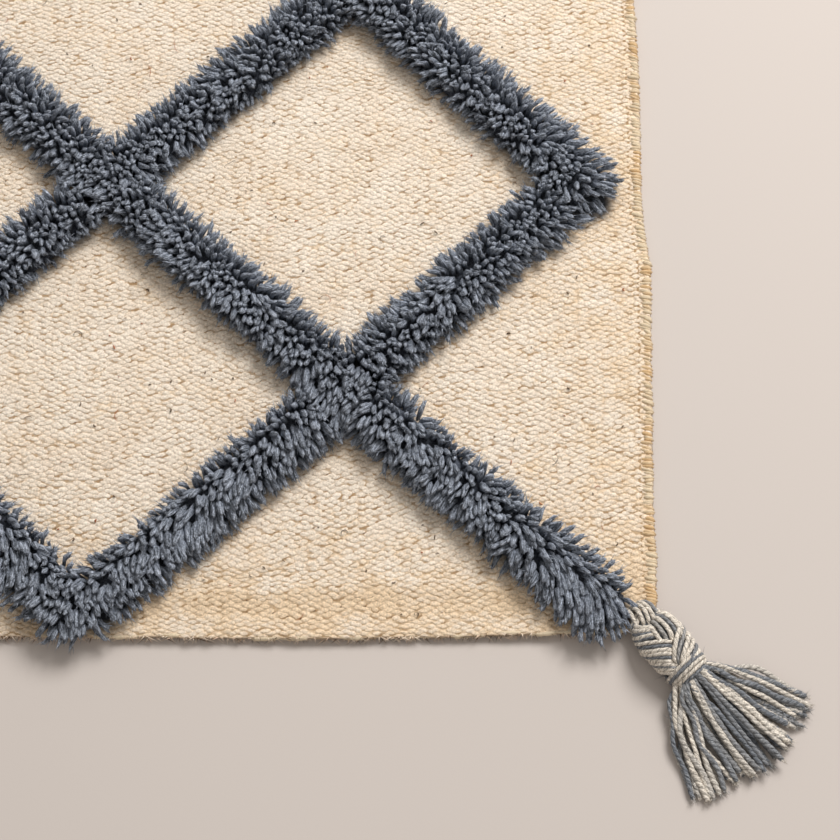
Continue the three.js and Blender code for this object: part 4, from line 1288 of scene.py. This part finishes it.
tassel = {
    "knotRadius": 1.36,
    "skirtRadius": 1.74,
    "ply": 8.8,  # length of yarn in which its two plies wind once round each other
    "knotTwist": 11.0,  # length in which a knot yarn's section turns once, and an under strand's
    "underTwist": 14.0,
    "lobe": 0.17,
    "knotStart": (334.0, -586.0),
    "knotHeading": -56.8,
    "knotTurn": 3.7,  # how far the heading comes round by the neck
    "skirtHeart": (361.5, -628.0),
    "skirtFrom": -91.0,
    "skirtTo": -4.0,
    "skirtReach": (68.5, 68.5, 74.0),  # from its heart at the left, middle and right
    "neckHalf": 8.2,
    "neckPlace": 46.0,  # along the knot, where the skirt starts
    "wrapStart": 42.4,  # along the knot, the first yarn of the wrapping and their spacing
    "wrapPitch": 2.15,
    "wrapColours": "cgccg",
    "topStrands": "gccccgggccggggccccgcgcgc",
    "topRings": 54,
    "topArch": 5.2,
    "underStrands": 36,
    "underRings": 26,
    "underGrey": 0.52,
    "greyTone": 0.66,  # a yarn's tone: cream up to 0.3, grey from 0.7, mixed between
    "creamTone": 0.25,
    "skirtCreamTone": 0.44,
    "frayEach": 13,
    "fuzz": 1500,
    "creamColour": (0.93, 0.855, 0.765),
    "dimCream": (0.72, 0.635, 0.54),
    "greyColour": (0.172, 0.190, 0.226),
    "paleGrey": (0.48, 0.495, 0.52),
    "sheen": {"weight": 0.2, "roughness": 0.5, "tint": (1.0, 0.98, 0.95), "gloss": 0.15},
}

# the knot from the cloth's corner to the skirt: along, half width, half height, height of its middle
knotRows = np.array([
    (0, 5.5, 4.2, 5.6), (5, 9.5, 7, 7.2), (12, 13, 9.8, 9.2), (22, 14.2, 11.8, 11.2), (32, 13.8, 11.8, 11.2),
    (40, 12.6, 10.9, 10.3), (46, 12.2, 10.4, 9.8), (51, 9.4, 8.4, 8),
])

# bundles of the plait: colours (c cream, g grey), lift, then start, middle and end of the first yarn
# and of the last one, each as (along, degrees around)
knotBundles = [
    ("cgcg", -0.5, ((3, 100), (7, 135), (14, 190)), ((1, 115), (4, 150), (9, 215))),
    ("gcg", -0.5, ((4, 60), (9, 25), (18, -25)), ((2, 45), (5, 5), (12, -40))),
    ("ccgcg", 0.0, ((7, 150), (11, 122), (16.5, 95)), ((12, 212), (16.5, 150), (22, 101))),
    ("cgcgcc", 0.3, ((12.5, 101), (18, 104), (26, 107)), ((6, 30), (17, 22), (32, 38))),
    ("cgccg", 0.5, ((13, 212), (20.5, 140), (29.5, 83)), ((22, 218), (28.5, 155), (38, 104))),
    ("ccgcc", 0.2, ((24, 218), (31, 155), (40, 112)), ((33, 224), (38, 170), (46, 125))),
    ("cgccgc", 0.7, ((19, 0), (28, 68), (41, 122)), ((37, -35), (41.5, 25), (44, 88))),
    ("gcg", 0.0, ((36, 262), (41.5, 200), (46, 150)), ((42, 262), (45, 215), (48, 165))),
]


# yarns that come through the cloth's corner and stand up into the head: start, top and end of each,
# as (along, across, height)
loopYarns = [
    ("c", (-5.5, 0.5, 4.6), (1.5, 1.6, 15.5), (11.5, -1.0, 15.0)),
    ("c", (-5.5, 3.0, 4.6), (1.0, 4.4, 14.8), (11.0, 3.2, 14.0)),
    ("c", (-5.0, -2.2, 4.6), (1.0, -1.6, 14.0), (10.5, -3.8, 13.6)),
    ("g", (-4.5, 5.6, 4.4), (1.5, 7.6, 12.0), (11.0, 6.6, 12.5)),
    ("c", (-5.5, -4.8, 4.4), (0.0, -5.6, 11.5), (9.0, -7.5, 11.0)),
]


def knotPlace(along):
    # place on the knot's axis, and the direction across it
    heading = np.radians(tassel["knotHeading"] + tassel["knotTurn"] * along / knotRows[-1, 0])
    x = tassel["knotStart"][0] + along * np.cos(heading)
    y = tassel["knotStart"][1] + along * np.sin(heading)
    return x, y, -np.sin(heading), np.cos(heading)


def knotSurface(along, around, lift):
    # place on the knot's skin, lifted off it by that much
    half, tall, middle = (np.interp(along, knotRows[:, 0], knotRows[:, k]) for k in (1, 2, 3))
    x, y, acrossX, acrossY = knotPlace(along)
    out = (half + lift) * np.cos(around)
    z = middle + (tall + lift) * np.sin(around)
    return np.stack([x + out * acrossX, y + out * acrossY, np.maximum(z, 1.2)], axis=-1)


def throughThree(three, share):
    # smooth line through a start, a middle and an end
    start, middle, end = (np.asarray(p, dtype=float) for p in three)
    share = share[:, None]
    bend = (middle - 0.5 * (start + end)) * 4
    return start + (end - start) * share + bend * share * (1 - share)


def spunYarns(
        paths, radii, colours, rng,
        twist=tassel["knotTwist"], creamTone=tassel["creamTone"], tipReach=0.3):
    # two-ply yarns along the lines, with their colour and twist
    count, rings = paths.shape[:2]
    sides = 8
    tones = np.array([tassel["greyTone"] if colour == "g" else creamTone for colour in colours])
    tones = tones + rng.normal(0, 0.05, count)
    turns = 2 * math.pi * lengthAlong(paths)
    spin = rng.uniform(0, 6.28, (count, 1)) - turns / (twist * rng.uniform(0.92, 1.12, (count, 1)))
    tag = rng.uniform(0, 500, count)
    points, triangles, corners = tubes(paths, radii, sides, tipReach, tassel["lobe"], spin, tag)
    # the colour winds with the plies, whatever the section does
    corners[..., 0] += corners[..., 1] * (1 / tassel["ply"] - 1 / twist)
    return points, triangles, corners, {"tone": perTube(tones, rings, sides)}


def knotYarns(rng):
    parts = []
    share = np.linspace(0, 1, 17)
    tuck = rising(share, 0.8, 0.2) ** 2 * 2.6 + rising(-share, -0.15, 0.15) ** 2 * 1.4
    for colours, bundleLift, first, last in knotBundles:
        count = len(colours)
        first, last = np.array(first), np.array(last)
        steps = [k / (count - 1) for k in range(count)]
        places = np.array([throughThree(first * (1 - step) + last * step, share) for step in steps])
        hump = np.sin(math.pi * share) * 0.9
        lift = bundleLift - 1.0 + hump - tuck + rng.normal(0, 0.14, (count, 1))
        wander = np.cumsum(rng.normal(0, 0.09, (count, len(share))), axis=1)
        paths = knotSurface(places[..., 0] + wander, np.radians(places[..., 1]), lift)
        slimmer = np.array([[0.86 if colour == "g" else 1.12] for colour in colours])
        radii = tassel["knotRadius"] * slimmer * rng.uniform(0.9, 1.1, (count, 1))
        parts.append(spunYarns(paths, radii, colours, rng))
    return parts


def neckWrap(rng):
    # yarns wound round the neck, rising to the right as seen from above
    colours = tassel["wrapColours"]
    around = np.radians(-100 + 362 * np.linspace(0, 1, 33))
    alongs = []
    for k in range(len(colours)):
        middle = tassel["wrapStart"] + tassel["wrapPitch"] * k
        rise = 1.2 * (np.degrees(around) - 90) / 90
        alongs.append(middle + rise + rng.normal(0, 0.12) + 0.15 * np.sin(around * 3 + k))
    lift = 0.35 + rng.normal(0, 0.12, (len(colours), 1))
    paths = knotSurface(np.array(alongs), around, lift)
    radii = tassel["knotRadius"] * rng.uniform(0.9, 1.08, (len(colours), 1))
    return [spunYarns(paths, radii, colours, rng)]


def cornerLoop(rng):
    share = np.linspace(0, 1, 13)
    paths = []
    for _, *three in loopYarns:
        along, across, z = throughThree(three, share).T
        x, y, acrossX, acrossY = knotPlace(along)
        paths.append(np.stack([x + across * acrossX, y + across * acrossY, z], axis=-1))
    radii = tassel["knotRadius"] * rng.uniform(0.95, 1.15, (len(loopYarns), 1))
    return [spunYarns(np.array(paths), radii, [row[0] for row in loopYarns], rng)]


def knotCore():
    # solid heart of the knot under its yarns
    along = np.linspace(0.5, 50.5, 18)
    around = np.linspace(0, 2 * math.pi, 20, endpoint=False)
    a, b = np.meshgrid(along, around, indexing="ij")
    ridge = 0.25 * np.sin(b * 5 + a * 0.5)
    skin = knotSurface(a, b, -2.3 + ridge)
    skin[..., 2] = np.maximum(skin[..., 2], 0.4)
    rings, sides = a.shape
    points = np.concatenate([skin.reshape(-1, 3), skin[0].mean(axis=0)[None], skin[-1].mean(axis=0)[None]])
    faces, _, _ = ringFaces(rings, sides)
    s = np.arange(sides)
    last = (rings - 1) * sides
    faces.append(np.stack([(s + 1) % sides, s, np.full(sides, rings * sides)], 1))
    faces.append(np.stack([last + s, last + (s + 1) % sides, np.full(sides, rings * sides + 1)], 1))
    triangles = np.concatenate(faces)
    return [(points, triangles, points[triangles][..., :2] * 0.3, {"tone": np.full(len(points), 0.75)})]


def acrossSkirt(shares, values):
    # a value for each strand from those at the skirt's left, middle and right
    return np.interp(shares, [-1, 0, 1], values)


def strandPaths(rng, turn, shares, reach, rootHeight, tipHeight, rings, bow, arch):
    # strands that leave the neck, bow sideways, arch up and come to lie on the floor
    neckX, neckY, acrossX, acrossY = knotPlace(tassel["neckPlace"])
    middle = (tassel["skirtFrom"] + tassel["skirtTo"]) / 2
    spread = (tassel["skirtTo"] - tassel["skirtFrom"]) / 2
    heading = np.radians(middle + turn + shares * spread)
    out = np.stack([np.cos(heading), np.sin(heading)], 1)
    across = np.stack([-out[:, 1], out[:, 0]], 1)
    tip = np.array(tassel["skirtHeart"]) + out * reach[:, None]
    width = tassel["neckHalf"] * shares
    root = np.stack([neckX + acrossX * width, neckY + acrossY * width], 1)
    knee = root * 0.68 + tip * 0.32 + across * bow[:, None]
    t = np.linspace(0, 1, rings)[None, :]
    flat = bentLines(root, knee, tip, t[..., None])
    hump = arch * (0.3 + 0.7 * np.clip(shares, 0, 1))[:, None] * np.sin(math.pi * t ** 0.7)
    z = tipHeight[:, None] + (rootHeight - tipHeight)[:, None] * (1 - t) ** 1.5 + hump
    count = len(shares)
    wobble = 0.0
    for size, slowest, fastest in ((1.8, 3, 9), (0.7, 11, 19)):
        waves = rng.normal(0, size, (count, 1)) * np.sin(t * rng.uniform(slowest, fastest, (count, 1)))
        wobble = wobble + waves
    flat = flat + across[:, None, :] * wobble[..., None]
    return np.concatenate([flat, np.maximum(z, 1.6)[..., None]], axis=-1)


def strandRadii(rng, count, rings):
    # strands thicken as they open, and are uneven
    t = np.linspace(0, 1, rings)[None, :]
    profile = 0.80 + 0.40 * t - 0.15 * rising(t, 0.95, 0.05)
    uneven = 1 + 0.07 * np.sin(t * rng.uniform(15, 30, (count, 1)) + rng.uniform(0, 6.28, (count, 1)))
    return tassel["skirtRadius"] * rng.uniform(0.78, 1.12, (count, 1)) * profile * uneven


def skirtStrands(rng, turn):
    # upper strands in the photographed order
    cream = tassel["skirtCreamTone"]
    colours = tassel["topStrands"]
    count, rings = len(colours), tassel["topRings"]
    shares = np.linspace(-1, 1, count) + rng.normal(0, 0.03, count)
    shares = shares + 0.035 * np.sin(shares * 11 + rng.uniform(0, 6.28))
    group = np.sin(shares * 8 + rng.uniform(0, 6.28))
    reach = acrossSkirt(shares, tassel["skirtReach"]) + group * 2.0 + rng.uniform(-8.0, 2.2, count)
    bow = acrossSkirt(shares, [-13.0, 0.0, 4.5]) + rng.normal(0, 1.6, count)
    rootHeight = 7.5 + 7.8 * np.sqrt(np.maximum(1 - shares ** 2, 0)) + rng.uniform(-0.8, 0.4, count)
    tipHeight = 2.0 + (1.6 + rng.uniform(0, 2.6, count)) * (1 - 0.75 * shares ** 2)
    upper = strandPaths(rng, turn, shares, reach, rootHeight, tipHeight, rings, bow, tassel["topArch"])
    radii = strandRadii(rng, count, rings)
    parts = [spunYarns(upper, radii, colours, rng, tassel["ply"], cream, radii[:, -1] * 0.5)]

    # strands beneath them, mixed by chance
    count, rings = tassel["underStrands"], tassel["underRings"]
    shares = np.linspace(-0.99, 0.86, count) + rng.normal(0, 0.03, count)
    reach = acrossSkirt(shares, tassel["skirtReach"]) - rng.uniform(-0.5, 8.0, count)
    bow = acrossSkirt(shares, [-11.0, 0.0, 3.0]) + rng.normal(0, 2.4, count)
    layer = rng.uniform(0, 1, count)
    rootHeight = 3.0 + 7.0 * layer * np.sqrt(np.maximum(1 - shares ** 2, 0.05))
    tipHeight, arch = 1.7 + layer * 0.6, 1.2 + 1.4 * layer[:, None]
    lower = strandPaths(rng, turn, shares, reach, rootHeight, tipHeight, rings, bow, arch)
    radii = strandRadii(rng, count, rings)
    colours = ["g" if pick < tassel["underGrey"] else "c" for pick in rng.uniform(0, 1, count)]
    parts.append(spunYarns(lower, radii, colours, rng, tassel["underTwist"], cream, radii[:, -1] * 0.5))
    parts.append(frayedEnds(rng, np.concatenate([upper[:, -1], lower[:, -1]])))
    return parts


def frayedEnds(rng, tips):
    # loose fibres at the cut ends
    each = tassel["frayEach"]
    count = len(tips) * each
    starts = np.repeat(tips, each, axis=0) + rng.normal(0, 0.8, (count, 3))
    away = np.column_stack([unit(starts[:, :2] - np.array(tassel["skirtHeart"])), np.zeros(count)])
    ends = starts + unit(away + rng.normal(0, 0.45, (count, 3))) * rng.uniform(1.2, 4.5, (count, 1))
    ends[:, 2] = np.maximum(ends[:, 2], 0.3)
    tone = np.repeat(rng.uniform(0.3, 0.7, len(tips)), each)
    return hairs(starts, ends, rng.uniform(0.14, 0.34, count), tone, rng)


def yarnFuzz(parts, rng):
    # short fibres that stand off the yarns
    points, triangles, _, attributes = joined(parts)
    centre = points[triangles].mean(axis=1)
    edge = points[triangles[:, 1]] - points[triangles[:, 0]]
    normal = unit(np.cross(edge, points[triangles[:, 2]] - centre))
    count = tassel["fuzz"]
    chosen = rng.choice(len(triangles), count, replace=False)
    length = rng.uniform(0.8, 3.2, (count, 1)) * rng.choice([1.0, 2.8], (count, 1), p=[0.85, 0.15])
    ends = centre[chosen] + unit(normal[chosen] * 0.8 + rng.normal(0, 0.9, (count, 3))) * length
    ends[:, 2] = np.maximum(ends[:, 2], 0.3)
    tone = attributes["tone"][triangles[chosen, 0]]
    return hairs(centre[chosen], ends, rng.uniform(0.12, 0.22, count), tone, rng)


def tasselMaterial():
    shader = Shader("tassel_yarn")
    ring, cosine = shader.yarnRing(0.16)
    streaks = shader.smooth(shader.noise(ring, 2.2, 2.0, 0.6), 0.36, 0.64)
    fluff = shader.fluff(850.0)
    heather = shader.noise(ring, 1.6, 4.0, 0.75)
    grey = shader.mix(shader.smooth(heather, 0.44, 0.68) * 0.75, tassel["greyColour"], tassel["paleGrey"])
    cream = shader.mix(shader.smooth(heather, 0.42, 0.72) * 0.7, tassel["creamColour"], tassel["dimCream"])
    colour = shader.mix(shader.smooth(shader.attribute("tone"), 0.3, 0.7), cream, grey)
    # painted shade in the groove between the two plies
    ply = shader.maths("ABSOLUTE", cosine)
    shade = (0.60 + shader.smooth(ply, 0.0, 0.6) * 0.40) * (0.62 + streaks * 0.40 + fluff * 0.40)
    colour = shader.shaded(colour, shade, blue=0.985)
    return shader.finish(colour, 0.88, ply * 0.8 + streaks * 0.4 + fluff * 0.3, 0.0009, 0.9, tassel["sheen"])


def tasselPieces():
    # each is built at the photographed corner, with its own yarns and turn, and mirrored to its own
    material = tasselMaterial()
    places = [
        ("front_right", 1, -1, 11, 0.0),
        ("front_left", -1, -1, 23, 3.0),
        ("back_right", 1, 1, 37, -2.0),
        ("back_left", -1, 1, 51, 2.0),
    ]
    for name, side, end, seed, turn in places:
        rng = np.random.default_rng(seed)
        parts = knotCore() + knotYarns(rng) + neckWrap(rng) + cornerLoop(rng) + skirtStrands(rng, turn)
        parts.append(yarnFuzz(parts[1:], rng))
        points, triangles, corners, attributes = joined(parts)
        points = points * np.array([side, -end, 1.0])
        points[:, 2] = np.maximum(points[:, 2], 0.1)
        if side * -end < 0:  # mirrored once, so its faces turn round
            triangles, corners = triangles[:, ::-1], corners[:, ::-1]
        piece = meshPiece("yarn_tassel_" + name, (points, triangles, corners, attributes), material)
        onRug(piece, "tassel_yarn", "tassel_" + name)
        print("tassel", name + ":", len(triangles), "triangles")


# Floor, light and camera

studio = {
    "floorColour": (0.588, 0.533, 0.497),
    "floorSize": 8.0,
    "floorSheen": {"weight": 0.0, "roughness": 0.5, "tint": (1.0, 1.0, 1.0), "gloss": 0.25},
    "lensPixels": 1900.0,
    "framePixels": 840.0,
    "sensor": 36.0,
    "cameraPlace": (0.2010, -0.9072, 1.1080),
    "cameraTurn": (0.3852, 0.0, -0.0064),
    "keyTarget": (0.30, -0.40, 0.0),  # the key light hangs this far away from there, in degrees round and up
    "keyAway": 2.9,
    "keyHeading": 57.0,
    "keyHeight": 49.0,
    "keySize": 1.5,
    "keyPower": 88.0,
    "keyColour": (1.0, 0.985, 0.965),
    "skyColour": (1.0, 0.95, 0.895),
    "skyStrength": 0.45,
}


def floorMaterial():
    shader = Shader("plain_floor")
    mottle = shader.noise(shader.place(), 3.0, 3.0)
    colour = shader.shaded(studio["floorColour"], 0.985 + mottle * 0.03)
    grain = shader.noise(shader.place(), 900.0, 2.0)
    return shader.finish(colour, 0.7, grain, 0.0001, 0.3, studio["floorSheen"])


def stageAndLight():
    half = studio["floorSize"] / 2 / toMetres
    points = np.array([(-half, -half, 0), (half, -half, 0), (half, half, 0), (-half, half, 0)])
    floor = meshPiece("floor", (points, np.array([(0, 1, 2), (0, 2, 3)]), None, {}), floorMaterial())

    scene = bpy.context.scene
    world = bpy.data.worlds.new("soft_sky")
    world.use_nodes = True
    background = world.node_tree.nodes["Background"]
    background.inputs["Color"].default_value = (*studio["skyColour"], 1.0)
    background.inputs["Strength"].default_value = studio["skyStrength"]
    scene.world = world

    heading, height = math.radians(studio["keyHeading"]), math.radians(studio["keyHeight"])
    flat = math.cos(height)
    away = np.array([math.cos(heading) * flat, math.sin(heading) * flat, math.sin(height)])
    key = linked("key_light", bpy.data.lights.new("key_light", "AREA"))
    key.data.shape = "DISK"
    key.data.size = studio["keySize"]
    key.data.energy = studio["keyPower"]
    key.data.color = studio["keyColour"]
    key.location = np.array(studio["keyTarget"]) + away * studio["keyAway"]
    key.rotation_euler = (math.pi / 2 - height, 0.0, heading + math.pi / 2)

    camera = linked("camera", bpy.data.cameras.new("camera"))
    camera.data.sensor_width = studio["sensor"]
    camera.data.lens = studio["lensPixels"] / studio["framePixels"] * studio["sensor"]
    camera.location = studio["cameraPlace"]
    camera.rotation_euler = studio["cameraTurn"]
    scene.camera = camera
    scene.view_settings.view_transform = "Standard"
    print("floor, light and camera are in place")


stageAndLight()
cloth = groundCloth()
shagPieces()
overcastYarn = selvedgeMaterial()
selvedgeStitches(overcastYarn)
endCords(overcastYarn)
strayFibres()
tasselPieces()
